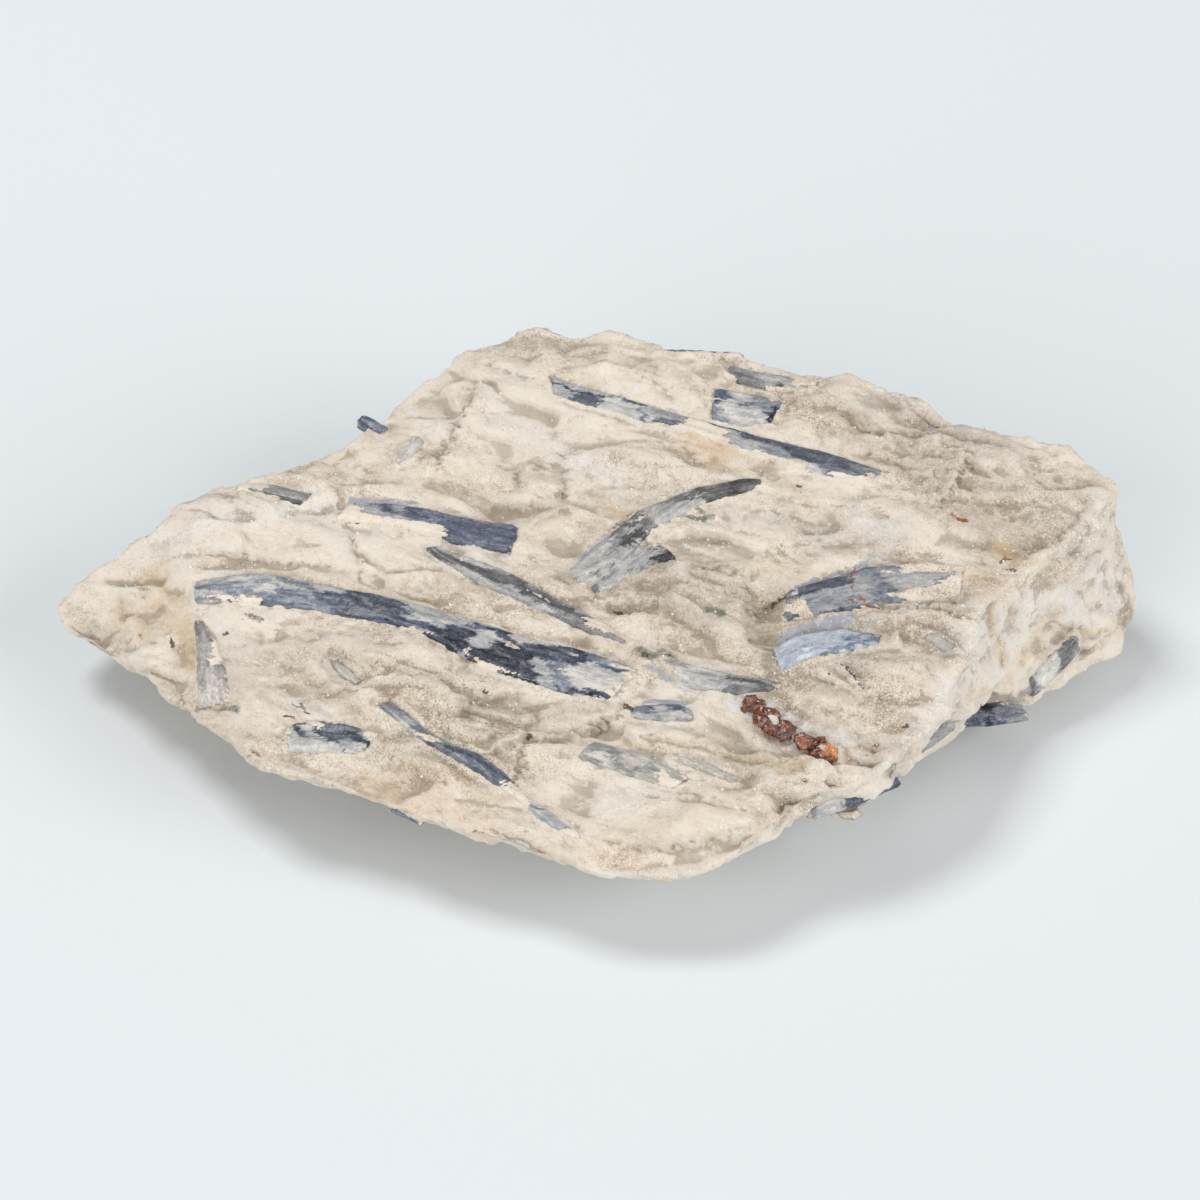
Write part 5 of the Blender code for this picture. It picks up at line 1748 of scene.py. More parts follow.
# Stains of one half width and amount: those two, then start and end of each and, on the
# sides, the heights of both.
STAINS: dict[str, tuple[tuple[Any, ...], ...]] = {
    "ochre": (
        (3.7, .45, (-77.6, 6, -69.5, -8.6)), (2.7, .4, (-82.6, 1.7, -76.7, -5.9)), (1.9, .6,
        (-71.1, -5.1, -68.8, -13)), (3.2, .55, (15.2, 32.2, 20.7, 27)), (1.9, .5,
        (16.9, 29.5, 19.7, 27.7)), (1.3, .35, (1.2, 18.6, 3.3, 13.2)), (1.3, .6, (67.2, 4.8, 71.9, .7)),
        (2.1, .35, (84.3, 16.9, 87.2, 14.9)), (1.1, .3, (49.4, -11.2, 61.7, -12.8)), (2.7, .3,
        (59.9, -1.3, 68.2, -5.3), (-32.8, -38.8, -16.5, -45.5)), (1.1, .25, (26.4, -3.6, 32.9, -6.3)),
        (2.1, .4, (18.9, -35.6, 30, -41.6)), (1.3, .45, (28.3, -43.5, 41.4, -37)), (1.6, .3,
        (2.7, -34.5, 15.7, -36.1), (48, -34, 53.2, -28.6, 23.3, 24.8)), (2.7, .25,
        (23.2, 2.7, 33.2, .7)), (2.7, .18, (-31.2, 6.1, -20.7, -4)), (1.6, .25,
        (-36.7, -24.1, -26.8, -26.4)), (3.7, .35, (-37.6, -41.1, -19.6, -50.1)), (3.7, .28,
        (-6.8, -55.7, 15.4, -50.7)), (1.3, .25, (-46.6, 6.6, -42.6, -3.8)), (1.8, .4,
        (70.5, -8.5, 77.8, 0, 14.9, 18.6)), (2, .4, (63.7, -7.5, 68.7, -12.5, 27.7, 11.8)), (1.6, .35,
        (58.8, -23.7, 66.9, -13.7, 20.1, 12.9)), (2, .3, (75.5, 2.1, 85.3, 4.5, 28.2, 16.9)), (1.2, .4,
        (81.4, -2.5, 90.5, 6.9, 14, 11.2)),
    ),
    "rust": (
        (.5, .9, (60.5, 10.5, 61.8, 10)), (.4, .6, (59.7, 11.3, 60.3, 10.2), (70.1, 3.9, 71.6, 4.6)),
        (.5, .8, (66.9, 1.7, 68.7, 2.9)), (.6, .8, (68.1, -.2, 69.4, -.3)), (.6, .5,
        (-7.1, 20.3, -6.4, 18.9)), (.3, .9, (42.2, .2, 41.5, -5.1)), (.3, .8, (39.9, -7.6, 42.9, -7.3)),
        (.4, .8, (43.8, -8.7, 46.2, -8.8), (43.5, -8.2, 44.2, -8.7)), (.3, .6,
        (46.2, -7.4, 46.8, -7.9)), (.4, .7, (58.2, -8.4, 58.3, -8.6), (42.6, -38.3, 44.3, -36.5)),
        (.7, .4, (-60.1, -4.7, -58.4, -5.8)), (.5, .35, (-43.2, 7.2, -42.7, 5.1)), (.6, .4,
        (67.7, 1.2, 70.4, 2.8, 28.9, 29.3)), (.3, .5, (23.4, -2.5, 26.7, -3.5)),
    ),
    # grey stains: grey quartz, and broad painted shade that darkens parts of the top
    "grey": (
        (.8, .1, (-30.1, 26.3, -26.7, 28.3)), (2.4, .35, (-17.6, 56.3, -5, 51.3),
        (-65.1, -20, -45.1, -21.4)), (1.6, .25, (-14.8, 53.7, -7.7, 52.4)), (4.3, .3,
        (-67.6, -9.8, -45.2, -19.1), (31.3, 43.4, 51.9, 33.2)), (1.1, .3, (-67.9, 6.3, -57.8, 1.6)),
        (4, .55, (46.5, -1.9, 58, -5.8)), (2.4, .5, (47, -7.5, 55.3, -8.4), (35.1, -34.4, 48.6, -38.1)),
        (1.6, .3, (51, 1.9, 56.7, -.2), (25.7, -25.3, 31.8, -35.8)), (3.2, .4, (57.7, 14.7, 67.3, 6.1)),
        (2.1, .3, (54.2, 13.8, 60.5, 5.2), (-18.4, 53.6, -.5, 53.4)), (1.6, .6,
        (53.6, -16.3, 57.2, -18.2)), (1.1, .5, (48.9, -31.6, 50.5, -32.5)), (2.4, .25,
        (45.6, -19.6, 58.7, -23.5), (-21.9, -24.5, -.5, -29.2)), (3.2, .25, (41.6, 37.8, 48.3, 31.3)),
        (2.1, .35, (6.1, -14.4, 19.3, -19.2)), (2.7, .12, (-28.7, -15.1, -17, -20.1),
        (-23.8, 51.3, -11.1, 42.3)), (3.7, .12, (16.7, 15.9, 33.4, 3.2)), (1.6, .22,
        (-20.2, -24.6, 2.8, -26.6)), (3.2, .18, (68.9, 28, 81.8, 18)), (2.1, .15,
        (26.9, 12.1, 46.8, 2)), (4.3, .35, (58.3, 25.1, 83.6, 18.1)), (2.7, .35,
        (59.2, 10.7, 68.9, 4.7)), (4.3, .55, (48.6, 36.7, 67.2, 28)), (2.7, .3,
        (49.8, -3.4, 59.3, -11.7)), (9.1, .38, (1.2, .4, 40.8, -15.4)), (9.1, .34,
        (48.3, 31.3, 79.4, 9.3)), (6.9, .26, (-11, 31.7, 20, 12.4)), (5.9, .22, (6.4, 24, 43.6, 6.7)),
        (3.7, .2, (-63.9, -14.3, -50, -23.1)), (2.1, .7, (-21.8, -27.4, -13.6, -26.2)), (4.3, .36,
        (31.9, 10.6, 48.6, 3.8)),
    ),
    "moss": (
        (.9, .8, (17.5, -7.9, 19.9, -9.2)), (.8, .6, (24.3, -7, 26.3, -7.8), (56.3, -1.5, 57.2, -2.2)),
        (1.1, .6, (6.1, -15.4, 8.6, -16.7), (9.8, -15.8, 11.1, -17.1)), (.8, .5,
        (11.4, -17.7, 13.3, -20.5), (9.4, -20.2, 10.7, -21.9), (-45, 16.5, -43.5, 14.8)), (.8, .7,
        (14.9, 12.7, 18.7, 12.3)), (.5, .6, (16, 14.7, 17.7, 13.7)), (.9, .7,
        (-62.9, -23.5, -60.1, -24.9), (-15, -42.2, -14, -44.3)), (.9, .6, (.5, -24.2, 2.5, -24.2)),
        (.7, .3, (-7, -37.4, -5, -38.8)), (1.1, .3, (50.1, 31.1, 51.6, 28.5)), (.8, .3,
        (31.3, 41.6, 34.8, 41.3)),
    ),
    # dark stains: dark specks and cracks, and painted shadow in cavities of the side wall
    "dark": (
        (.4, .95, (2.2, -6.6, 4.2, -7.6)), (.6, .9, (2.9, -6.4, 3.5, -7.1)), (.3, .9,
        (-22.7, -24.1, -22.5, -24.1), (-19.6, -24.2, -19.1, -23.8)), (.2, .7,
        (-19.8, -29.5, -19.5, -29.5), (33.6, 19.7, 34, 17.2)), (.4, .8, (-72.4, -8.4, -72.4, -9.3),
        (62.5, -19.4, 65.9, -13.3, 14.6, 8.6), (-12.5, -34.3, -11.8, -34.1)), (.4, .7,
        (-63.5, -8.1, -63.1, -8.5), (2.8, -25.6, 3.8, -26.9), (-52.4, -26.4, -50.4, -27.5)), (.4, .45,
        (-82.2, 5.5, -77, 2.8)), (.4, .42, (-81.5, 1.1, -76.9, -2.7)), (.3, .45,
        (-80.1, 3.2, -78, 1.6)), (.8, .35, (-57.5, -3.9, -61.1, -6.1)), (.8, .5,
        (-60.4, -5.8, -57.4, -6.1)), (.5, .6, (6.1, -15.8, 7.4, -16.4)), (.4, .6,
        (10.4, -16.3, 11.1, -17.1)), (.4, .4, (16, -17.4, 18, -19.7), (21.5, -34.2, 22.8, -36.1)),
        (.4, .9, (39.4, -21.7, 42.3, -26.3)), (.3, .7, (36.9, -23.6, 37, -23.8),
        (-47.1, -28, -44.6, -31.1)), (.3, .5, (33.2, .2, 33.4, -.3), (30.4, -3.6, 31, -5),
        (-50, -23.1, -48.8, -25.7), (-41.9, -33.8, -40.8, -35)), (.3, .8, (-43.2, 15, -42, 14.5),
        (49, -33.5, 49.5, -33.1)), (.2, .6, (32.7, 8.8, 33.8, 7.3)), (.2, .4, (-.5, -5.9, .2, -7.1),
        (-3.9, -2.2, -.5, -2)), (.4, .5, (46, -39.1, 46.9, -38.6), (1.6, 11.4, 5.3, 15.2),
        (3.8, -27.3, 5, -28.8)), (.4, .35, (25, -6.3, 26.9, -7.8), (-50.9, 23.1, -43.9, 20.8)), (.6, .7,
        (3.4, -26.4, 5.1, -28)), (.3, .6, (-51.6, -23.8, -47.8, -26.6), (-39.3, -31.7, -37.9, -33.4),
        (28, -5.6, 31.7, -4.6)), (.2, .5, (-7.9, -23.6, -.5, -25.1)), (.3, .3, (28.4, 6.1, 31.7, 5.2)),
        (.5, .7, (71.9, -10.8, 72.1, -10.8, 7.8, 7.3)), (.7, .4, (85.5, 2, 92.5, 8.6, 12.2, 10.4)),
        (.6, .35, (90.5, 10.3, 91, 8.4, 16.4, 12.5)),
    ),
    "blue": (
        (1.1, .75, (33.1, -11.6, 41.1, -10.4)), (.8, .4, (41.1, -12, 44.6, -12.7)), (1.3, .4,
        (44.4, 2.1, 48.5, 1.3)), (1.3, .45, (7.4, -19.4, 14.3, -23.8)), (1.1, .35,
        (14.4, -18.1, 19.2, -22.2), (-59, 2.3, -51.3, .2), (31.4, 44, 34.8, 42), (56.5, -3.5, 58, -5.8),
        (-50, -23.1, -44.8, -27)), (.9, .35, (11.7, -39.2, 18.8, -41.4)), (.4, .35,
        (19.1, -26.4, 23.2, -27.9)), (.8, .15, (-65.8, -7.1, -60.8, -10.9)), (.5, .2,
        (32.9, -7.6, 34.8, -9.3)), (.8, .25, (52.5, .3, 54.9, -1.4), (-41.1, -36, -39, -37.6),
        (-15.2, -10.2, -10.5, -12)), (1.1, .4, (54.3, -16.5, 57.1, -19), (.2, -16.1, 4.4, -19.6)),
        (1.1, .3, (-44.3, -36.1, -40.9, -39)), (1.6, .4, (-8, 2.6, -.5, -1.1)), (.8, .3,
        (-12.2, -9.3, -8.5, -11)), (.8, .2, (-42.1, -15.4, -39.9, -18.1)), (.7, .8,
        (-43.8, 20.2, -32, 18.5)), (.4, .6, (-31.9, 17.4, -15.1, 14.4)), (1.3, .7,
        (-4.2, 5.4, 6.3, 13.1)), (.5, .9, (32.3, -2.9, 44.7, 1)), (.6, .95, (35.4, -11.1, 41.1, -10.2)),
        (1.3, .9, (29.8, -13.2, 32.8, -11.5)), (1.3, .95, (32.8, -11.6, 40.4, -10.8)), (.7, .95,
        (7, -25.8, 13.6, -26.6)), (.5, .5, (6, -27.4, 7.4, -26.6)), (1, .6,
        (67.3, -13, 70.9, -11.1, 8.5, 8.1), (70.5, -11.2, 72.6, -9.7, 8.1, 9.1)), (.8, .6,
        (50.2, -35.9, 56, -24.1, 17.8, 12.2)), (1, .4, (37.2, -44.4, 45.2, -36.9, 18.2, 12.4)),
    ),
    # white stains: white quartz, and painted light on the right wall and on faces turned to the front
    "white": (
        (2.1, .4, (-7.5, 28.9, 3, 22.8)), (2.4, .4, (42.3, 13.5, 48.6, 5.2)), (1.6, .3,
        (33.7, 11.7, 40.4, 9), (-19.8, 34.8, -14.5, 32.6), (47.9, -36.2, 58.7, -23.5)), (1.1, .45,
        (22.7, -28.3, 24.3, -29.1)), (1.1, .5, (29.1, -31.2, 32.9, -33.9)), (1.1, .4,
        (31.9, -33, 37.5, -35.3)), (2.7, .15, (-28.6, 32.5, -.5, 35.5), (5.9, -48.4, 25, -46.8)),
        (2.1, .15, (2.9, -2.4, 12.9, -5.8), (-65.4, 7.1, -45, 9.6)), (1.3, .35,
        (-51.7, -23, -44.8, -26.2)), (.8, .3, (-10.4, -17.7, -7.1, -20)), (2.8, .25,
        (66.4, -6.5, 77.5, 1.8, 26.8, 23.9)), (2, .3, (51.2, -34.2, 56.7, -26.5, 23.5, 22.8)),
        (1.6, .25, (58.5, -22.1, 64.7, -11, 25.4, 21.9)), (5.2, .45,
        (59, -15.9, 87.4, 7.5, 26.4, 16.5)), (2.7, .3, (68.6, 1.2, 77.2, 3.8)), (2.1, .3,
        (77.3, 2.9, 86.9, 13.2), (59.3, -11.7, 66.9, -13.7)), (3.2, .25, (-74.6, 12.9, -47, 15.1)),
        (1.9, .8, (23.2, -26.3, 31.9, -33)), (1.6, .8, (30.2, -34.6, 38.2, -37.4)), (1.3, .7,
        (20.8, -26.6, 25.5, -30)), (1.3, .5, (38.3, -34.8, 41.4, -37.9)), (3.7, .35,
        (-76.3, 12.3, -47.2, 18.5)), (3.2, .3, (-21.7, 39.9, -7.5, 29.9)), (1.6, .4,
        (46, -12.1, 54.4, -10.3)), (2.1, .35, (6.3, 9.6, 19.9, 7.8)), (4.3, .2,
        (-6.9, -45.5, 12.3, -43)), (4.8, .5, (52.9, -32.5, 85.3, 6.9, 24.1, 19.4)),
    ),
    # dirt stains: real dirt, and painted shade in pockets and painted shadow lines under ledges
    "dirt": (
        (1.9, .35, (-17.9, 25.8, -7.4, 22.5)), (1.3, .3, (-21.2, 15.6, -10.9, 18.2),
        (6, -36.4, 31.5, -42.5), (5.8, -55.1, 21.7, -53.7)), (1.1, .35, (-7.4, 23.6, -6.3, 13.7),
        (-56.6, -22.8, -49.8, -26.3), (-13.4, -35.5, -11.8, -41.8), (-10.6, -5.1, 12.9, -7.9)),
        (1.1, .15, (-27.7, 6.2, -7.2, -2), (37, -27.5, 62.7, -18.5)), (1.9, .55,
        (27.1, -7.4, 28.1, -25.4)), (1.6, .35, (24.4, -13.2, 27.6, -18.1), (-36.4, -31.5, -31.4, -33),
        (-9.5, -32.2, 9.2, -39.9), (14.1, -33.1, 28.4, -41.6)), (.8, .3, (-34.2, -3, -27.4, -4.3),
        (48.6, -37.2, 54, -31.6, 23, 21.4)), (1.1, .22, (-8.4, 38.1, 17, 32.1)), (1.1, .28,
        (-7, -31.1, 7.6, -31.9), (-41.1, -.8, -24.1, -3.6)), (1.1, .25, (-21.8, -27.2, -7, -26.6)),
        (1.3, .2, (15.3, 35.1, 17, 31.6)), (1.6, .2, (23.2, 4.2, 41.9, 5.1)), (1.3, .25,
        (25.3, -36.8, 41.3, -39.9)), (1.1, .3, (-45.7, 22.6, -42.2, 7), (-70, 22.1, -49.2, 23.4),
        (-68.8, 6.1, -44.5, 1)), (.5, .3, (-8.6, -32.1, -.5, -30.8)), (1.3, .18,
        (6.2, -1.6, 31.4, -4.3)), (1.6, .12, (68.2, 18.6, 84.8, 13.5)), (1.6, .3,
        (13.7, 44.2, 17.1, 40), (6.2, -3.8, 26.3, -6.7), (-91.8, 4.8, -82.2, -3.7)), (1.6, .25,
        (33, 39.4, 48.6, 35.6), (-32.4, 42.7, -23.7, 48.2)), (1.4, .7, (83, -.1, 91.5, 7.3, 9.5, 10.1)),
        (1, .6, (89.3, 8.9, 91.9, 7.9, 16.5, 10.3)), (2.7, .22, (-38.8, 24.3, -21.3, 20.3)), (1.6, .4,
        (-21.3, 19, -9.1, 16.3)), (2.4, .22, (12.9, -7.9, 29.4, -13.4)), (2.4, .28,
        (60.5, 5.2, 66.5, -3.2)), (2.1, .25, (49.1, -15.5, 58.7, -20.2), (16.4, 2.7, 31.4, -3.3)),
        (1.6, .28, (-21.8, -26.7, -.5, -29.5)), (2.4, .2, (-29, 47.1, -25, 32.3)), (2.4, .25,
        (-18.5, 55.4, 6.6, 51.4), (-21.9, -24.5, -.5, -29.2)), (3.2, .25, (48.7, 37.8, 62, 28)),
        (3.2, .2, (68.8, 25.6, 81.4, 13.6), (-81, 3.5, -71.1, -10)), (1.3, .4,
        (-71.7, 21.1, -61.2, 21.6)), (2.7, .35, (48.6, 35.6, 62, 28)), (2.4, .4,
        (-17.6, 56.3, -.5, 52.1)), (2.1, .3, (49.8, -3.4, 59, -15.9)), (5.9, .22,
        (6.2, -2.6, 37.8, -11.5)), (6.9, .2, (51.5, 26.2, 77.3, 2.9)), (5.3, .14,
        (-31.8, -22.3, -7, -34.6)), (1.6, .55, (28.8, -5.7, 27.5, -19.1)), (3.7, .16,
        (-45.6, -10.9, -20.4, -17.3)), (.8, .5, (91.1, 8.2, 81.9, -2.8, 12.2, 12.4),
        (-21.3, 20.3, -17.8, 19.1)), (.3, .7, (-33.4, -22.7, -30.2, -21.9), (-2.1, -30.7, 3.4, -28.7)),
        (.3, .6, (-30.2, -21.9, -24.8, -24.6), (-1.8, -3, 2.8, -7.1), (46.6, -14, 53, -16.5)), (.6, .8,
        (-23.1, -26.6, -19.9, -25.2)), (.4, .6, (-19.9, -25.2, -13, -24.6), (19.8, 1.3, 23.4, 0),
        (6, -34.4, 15.6, -36.7), (15.6, -36.7, 25.2, -40.2), (56.7, -13.3, 61.8, -11.7)), (.3, .8,
        (-26.4, -34.4, -21.5, -36.5), (-21.5, -36.5, -16.7, -36.6)), (.4, .9,
        (-16.7, -36.6, -12.5, -34.3), (-11.8, -34.3, -6, -34.1), (27, -6.1, 31.7, -4.6)), (.4, .8,
        (-6, -34.1, -2.1, -30.7), (15.3, -.3, 19.8, 1.3)), (.4, .7, (-12.8, -35, -13.7, -38.4)),
        (.5, .8, (-13.7, -38.4, -14.6, -44)), (.5, .7, (-7.2, -4.3, -2.2, -4.5)), (1.3, .5,
        (-15.1, 25.7, -11, 27.3)), (.4, .5, (10, 30.5, 16.8, 23.8), (-69.4, 4.8, -62, 7.3)), (.3, .5,
        (5.9, -39, 18.7, -42.7)), (.5, .4, (-43.4, 11.4, -41.3, 3.2)), (4.3, .26,
        (31.9, 10.6, 48.5, 2.9)),
    ),
    "coarse": (
        (8, .9, (6.2, -2.6, 39.2, -15.2)), (4.8, .6, (16.6, 12.2, 43.7, 8.8)), (6.9, .9,
        (-33.5, -22.3, -7, -29.4)), (5.3, .8, (-26.4, -35.3, -.5, -39.2)), (5.3, .6,
        (30.1, 7.5, 50.3, 5.1)), (6.9, .6, (51.2, 21.5, 76.7, 18.2)), (3.2, .4,
        (-82.9, 5.7, -74.7, -8.5)), (5.9, .8, (46.2, -7.4, 59, -15.9)), (4.3, .5,
        (6, -34.4, 34.8, -45)), (3.2, .5, (-45.6, -10.9, -30.4, -15.1)), (3.7, .5,
        (-7.5, 31.8, 6.4, 24)),
    ),
    # smooth stains calm the relief and lighten the quartz as painted light
    "smooth": (
        (3.2, .7, (-90.8, 4, -79.2, 2.9)), (9.1, 1, (-27.1, 44.1, -7.5, 31.8)), (4.8, .7,
        (-.5, 49.7, 10.1, 39.9)), (3.2, .5, (-4, 39.6, 17, 30.9), (2.8, -25.6, 15.8, -30.2)), (6.9, .8,
        (-67.7, 15.4, -44.9, 6.5)), (5.9, .8, (-.5, -46.2, 18.5, -53.7)), (5.9, .6,
        (-6.9, -41.9, -.5, -46.2)), (4.3, .6, (-17.8, 20.5, -7.3, 5)), (3.7, .4,
        (47.1, 8.8, 60.6, 6.3)), (2.7, .6, (-10.3, -25.5, -.5, -29.2)), (4, .5,
        (59, -15.9, 85.3, 4.5, 26.4, 16.9)), (6, .9, (53.8, -28.7, 85.3, 6.9, 15.8, 19.4)),
    ),
}

# Each ledge line: its start, then the end, rise and width of every stretch.
LEDGES: Strokes = (
    (-73.2, 9.3, -62, 7.6, .9, 4, -46.5, 4.9, .8, 4), (-69.5, 6.1, -58, 3.8, .4, 2),
    (-44.5, 20.4, -43.4, 11.4, .5, 2.5, -40.9, 2.1, .6, 2.5, -33.4, -3.3, .5, 2.5),
    (-47.3, 21.5, -44.3, 14.8, .4, 2),
    (-27.4, -28.1, -21.8, -26.1, .8, 4, -13.6, -23.9, .9, 5, -6.1, -24, .7, 5),
    (-26.5, -33.1, -21.5, -36.5, 1, 4, -16.7, -36.8, 1, 4, -12.2, -34.3, 1, 4, -5.4, -33.9, 1, 4, .5,
     -29.9, .9, 4, 3.1, -26.4, .7, 4),
    (-12.2, -35, -13.4, -39.1, .7, 3, -14.3, -44.4, .6, 3), (-36.7, -31.8, -31.1, -31.4, .7, 3),
    (-21.5, 46.1, -25.5, 35.5, 1, 5, -28.8, 27.1, 1, 5),
    (-10, 37.7, -.1, 35.5, .5, 2.5, 10.4, 32.9, .7, 3, 17.6, 25.7, .7, 4),
    (-7.5, 28.3, 1.2, 30, -.6, 4, 13.5, 31.2, -.5, 4), (-15.8, 24, -12, 26.4, .6, 3, -7.1, 27.8, .5, 3),
    (-18.5, 20.1, -14, 17.5, .8, 3, -7.4, 21, .8, 3), (-7.1, 27.4, -5.7, 17.3, .5, 2.5),
    (14.7, -.1, 19.1, 1.1, .7, 3, 23.8, -.6, .7, 3), (23.4, -2.3, 26.4, -3.6, .5, 2),
    (-1.8, -5, 6.2, -6, .5, 2.5, 16.9, -5.9, .5, 2.5), (-21.2, 50.2, -12.9, 45.5, .6, 2.5),
    (-7.6, 46.9, .6, 49.2, -.6, 3, 8.4, 45.7, -.6, 3, 15.7, 40.8, -.6, 4),
    (8.4, 52.8, 9.4, 46.5, .6, 3, 15.5, 46.3, .5, 3), (48.7, 25.5, 61.7, 24.2, -.7, 4),
    (62.9, 21.9, 60.7, 18.5, -.9, 4, 59.1, 15.5, -.8, 4),
    (56.6, 13.2, 58.7, 15.1, .8, 3, 68.2, 13.9, .8, 3, 68.6, 10.1, -.7, 3, 76.2, 12.7, .5, 3),
    (70.3, 1.9, 77.7, 5.5, -.7, 5, 83.5, 13.6, -.7, 5), (44.5, -9.7, 52.1, -9.6, -.6, 3),
    (46.6, -13.7, 53.4, -16.1, .8, 3, 58, -19.7, .6, 2.5),
    (27, -6.5, 32.4, -3, .8, 3, 47.1, 1.8, .6, 2.5, 55.3, 3.5, .5, 3), (50.2, 3.7, 63.6, 1.7, .4, 3),
    (6, -33.2, 15.7, -35.9, .6, 4, 22.4, -38.9, .8, 4, 31.6, -41.2, .8, 4, 40.6, -40.2, .8, 4),
    (7.6, -36.8, 15.6, -38.7, .4, 3),
    (14, -41.8, 23.5, -45.3, .6, 3, 31.4, -45.3, .6, 4, 39.6, -42.1, .6, 4),
    (-6.9, -48.3, -3, -52.5, .6, 3, 5.8, -55.1, .7, 4, 16.3, -54.2, .7, 4, 24.9, -50.9, .6, 4),
    (-27.7, -46, -13.2, -52.8, .5, 4), (14.2, -26.2, 17.9, -24.7, -.5, 3),
    (30.5, -26.9, 33, -31.4, .5, 3), (37.1, -25.3, 48.3, -28.8, .5, 4, 56.6, -26.1, .5, 4),
    (38.6, -27.7, 41.8, -36.4, .4, 3), (29.8, 7.6, 41.9, 5.8, .5, 4),
    (16.6, 12.2, 26.8, 8.7, .5, 4, 33.4, 3.2, .5, 4), (33.8, 15.8, 47.4, 13.4, .5, 4, 48.7, 6.3, .4, 3),
    (43.4, 2.1, 50.2, 2.9, .5, 3), (-27.7, 3.8, -13.9, -4.3, .5, 3), (-34.6, 6.4, -27.7, 2.7, .4, 3),
    (-64.2, -9.8, -50.5, -14.4, .5, 4, -43.9, -13.1, .4, 3), (-35.3, -16.6, -26.9, -20.1, .5, 4),
    (-55.8, -9.7, -52.8, -4.2, .4, 4), (45, 33.5, 51.6, 28.5, .7, 4, 61.9, 26.4, .6, 4),
    (38.2, 38.4, 45.2, 39.4, .5, 4), (48.9, 41.6, 54, 38.3, -.5, 3),
)

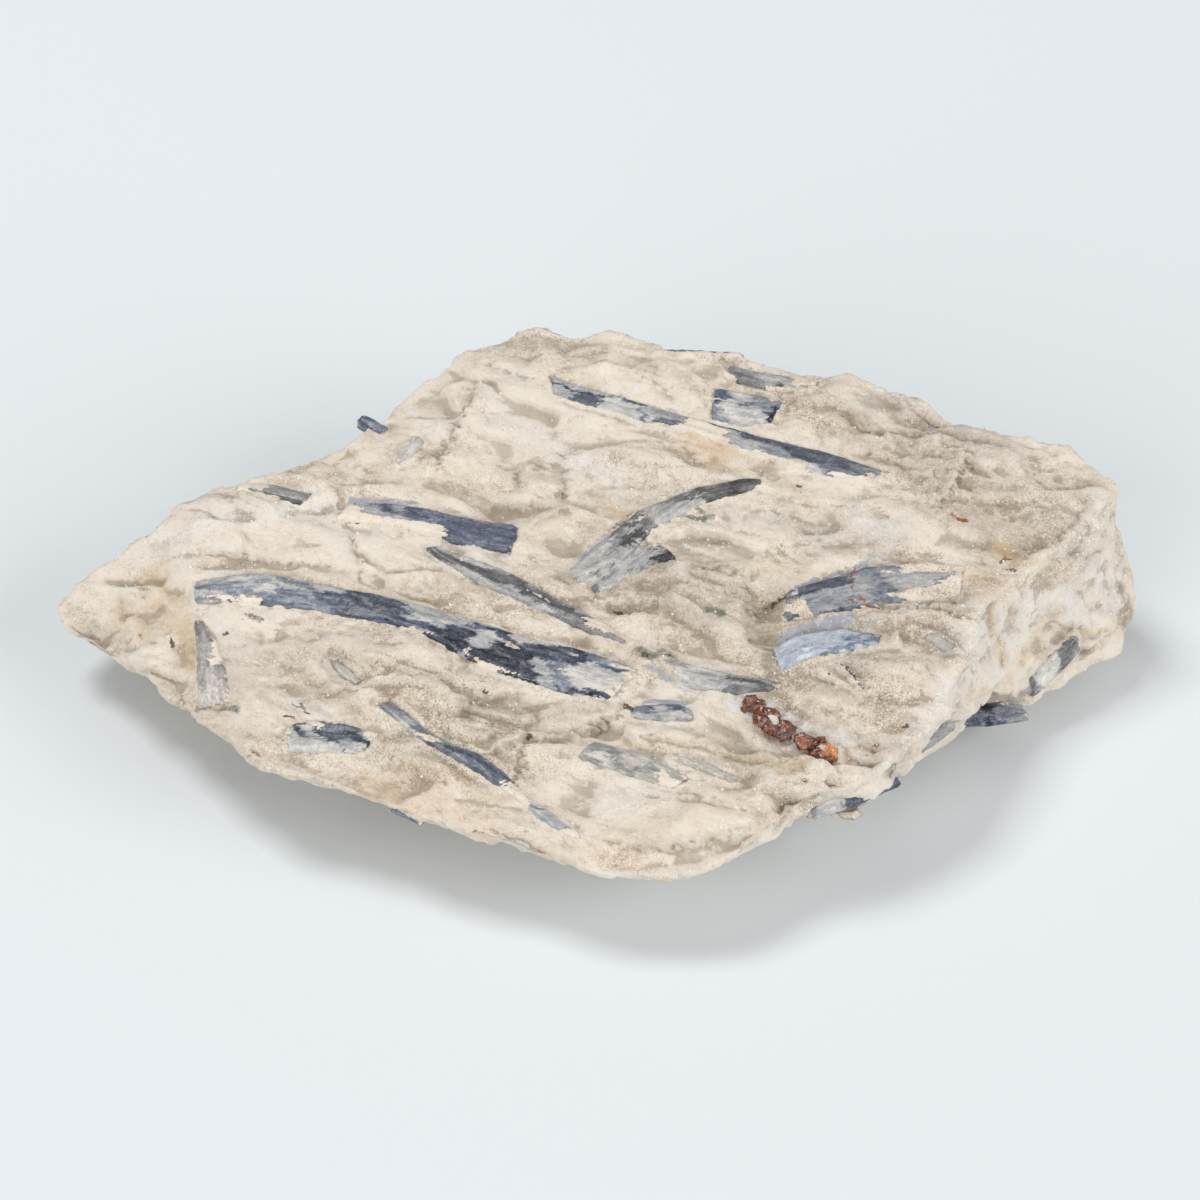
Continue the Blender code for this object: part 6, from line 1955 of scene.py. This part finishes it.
# How each blade looks.
LOOKS: dict[str, BladeLook] = {
    "blade_great": BladeLook(Tint.NAVY, ((0.0, 0.72), (0.3, 0.62), (0.6, 0.72), (1.0, 0.8)),
                             ((0.0, 0.3), (0.3, 0.12), (0.45, 0.22), (0.6, 0.34), (1.0, 0.12))),
    "blade_back_long": BladeLook(Tint.BLUE, ((0.0, 0.6), (0.5, 0.6), (1.0, 0.4))),
    "blade_left_upper": BladeLook(Tint.NAVY, ((0.0, 0.6), (0.5, 0.5), (0.6, 0.36), (1.0, 0.34))),
    "blade_left_rim": BladeLook(Tint.SLATE, ((0.0, 0.5), (1.0, 0.5))),
    "blade_glassy": BladeLook(Tint.PALE, ((0.0, 0.55), (0.4, 0.7), (1.0, 0.84)),
                              ((0.0, 0.12), (0.6, 0.2), (1.0, 0.3))),
    "blade_slender": BladeLook(Tint.SLATE, ((0.0, 0.6), (1.0, 0.55))),
    "blade_curved": BladeLook(Tint.SLATE, ((0.0, 0.8), (0.5, 0.62), (1.0, 0.3)),
                              ((0.0, 0.36), (0.3, 0.15), (1.0, 0.05))),
    "blade_broad": BladeLook(Tint.BLUE, ((0.0, 0.3), (0.3, 0.55), (0.6, 0.72), (1.0, 0.82)),
                             ((0.0, 0.05), (0.35, 0.12), (0.5, 0.34), (0.66, 0.52), (1.0, 0.7))),
    "blade_bright": BladeLook(Tint.SKY, ((0.0, 0.72), (0.6, 0.62), (1.0, 0.5))),
    "blade_front": BladeLook(Tint.BLUE, ((0.0, 0.5), (0.6, 0.55), (0.7, 0.8), (1.0, 0.8))),
    "blade_mossy": BladeLook(Tint.MOSS, ((0.0, 0.66), (1.0, 0.66)), ((0.0, 0.2), (1.0, 0.3))),
    "blade_faint": BladeLook(Tint.MOSS, ((0.0, 0.78), (1.0, 0.78)), ((0.0, 0.4), (1.0, 0.4))),
    "blade_stub": BladeLook(Tint.NAVY, ((0.0, 0.6), (1.0, 0.55))),
    "blade_grey": BladeLook(Tint.SLATE, ((0.0, 0.76), (0.6, 0.66), (1.0, 0.35)),
                            ((0.0, 0.32), (0.5, 0.2), (1.0, 0.1))),
    "blade_square": BladeLook(Tint.NAVY, ((0.0, 0.3), (0.4, 0.7), (1.0, 0.4))),
    "blade_small_left": BladeLook(Tint.SLATE, ((0.0, 0.85), (1.0, 0.7)), ((0.0, 0.3), (1.0, 0.2))),
    "blade_pale_left": BladeLook(Tint.PALE, ((0.0, 0.7), (1.0, 0.78)), ((0.0, 0.25), (1.0, 0.3))),
    "blade_mica": BladeLook(Tint.BLUE, ((0.0, 0.7), (0.5, 0.75), (1.0, 0.5)),
                            ((0.0, 0.25), (1.0, 0.25))),
    "blade_rim_mass": BladeLook(Tint.SLATE, ((0.0, 0.4), (0.4, 0.6), (1.0, 0.75)),
                                ((0.0, 0.1), (1.0, 0.4))),
    "blade_pale_right": BladeLook(Tint.PALE, ((0.0, 0.75), (1.0, 0.55)), ((0.0, 0.25), (1.0, 0.2))),
    "blade_needle": BladeLook(Tint.NAVY, ((0.0, 0.2), (1.0, 0.15)), edge=0.0),
    "blade_rim_plate": BladeLook(Tint.NAVY, ((0.0, 0.4), (1.0, 0.25))),
    "blade_nub": BladeLook(Tint.NAVY, ((0.0, 0.2), (1.0, 0.35)), edge=0.2),
    "blade_wall_low": BladeLook(Tint.NAVY, ((0.0, 0.32), (0.5, 0.36), (0.8, 0.55), (1.0, 0.7)),
                                ((0.0, 0.05), (0.6, 0.1), (1.0, 0.35)), -0.1),
    "blade_wall_plate": BladeLook(Tint.SLATE, ((0.0, 0.45), (0.4, 0.55), (1.0, 0.6)),
                                  ((0.0, 0.2), (1.0, 0.38))),
    "blade_foot": BladeLook(Tint.NAVY, ((0.0, 0.85), (0.4, 0.7), (0.6, 0.3), (1.0, 0.1)),
                            ((0.0, 0.4), (0.5, 0.3), (1.0, 0.05))),
    "blade_foot_small": BladeLook(Tint.SLATE, ((0.0, 0.6), (1.0, 0.55)), ((0.0, 0.3), (1.0, 0.3))),
    "blade_rim_sliver": BladeLook(Tint.NAVY, ((0.0, 0.35), (1.0, 0.3)), edge=0.3),
}
# Where each garnet cluster's tip lies, and its tone there.
GARNETS = {"garnet_upper": ((24.0, -26.0), 0.5), "garnet_lower": ((37.2, -38.4), 1.1)}


def stretches(line: Sequence[float]) -> list[Ledge]:
    """Turn a line of LEDGES into one ledge for each stretch.

    Args:
        line: start, then end, rise and width of every stretch.

    Returns:
        The ledges.
    """
    places = [line[:2], *(line[i:i + 2] for i in range(2, len(line), 4))]
    sizes = [line[i:i + 2] for i in range(4, len(line), 4)]
    return [Ledge(*a, *b, *size) for a, b, size in zip(places, places[1:], sizes)]


def main() -> None:
    """Build every piece and report it."""
    logging.basicConfig(level=logging.INFO, format="%(name)s %(message)s")
    Studio().build()
    marks = {name: [Mark(*row) for row in rows] for name, rows in MARKS.items()}
    stains = {kind: [Stain(*place[:4], half, amount, *place[4:])
                     for half, amount, *places in groups for place in places]
              for kind, groups in STAINS.items()}
    slab = QuartzSlab(stains, [ledge for line in LEDGES for ledge in stretches(line)])
    quartz = slab.build(list(LOOKS), list(GARNETS))
    finishes = {tint: KyaniteFinish(tint).material() for tint in Tint}
    for name, look in LOOKS.items():
        KyaniteBlade(name, look, marks.get(name, []), stains["rust"]).build(finishes)
    garnet = GarnetFinish().material()
    for name, (tip, tip_tone) in GARNETS.items():
        GarnetCluster(name, tip, tip_tone).build(garnet)
    slab.sugar()
    sugar = GrainFinish("quartz_sugar", (0.70, 0.62, 0.52), (0.93, 0.90, 0.85), 0.32)
    Scatter("quartz_sugar", 0.45, 0.26, 0.8, 5, "sugar").build(quartz.data, sugar.material(), "quartz")


if __name__ == "__main__":
    main()
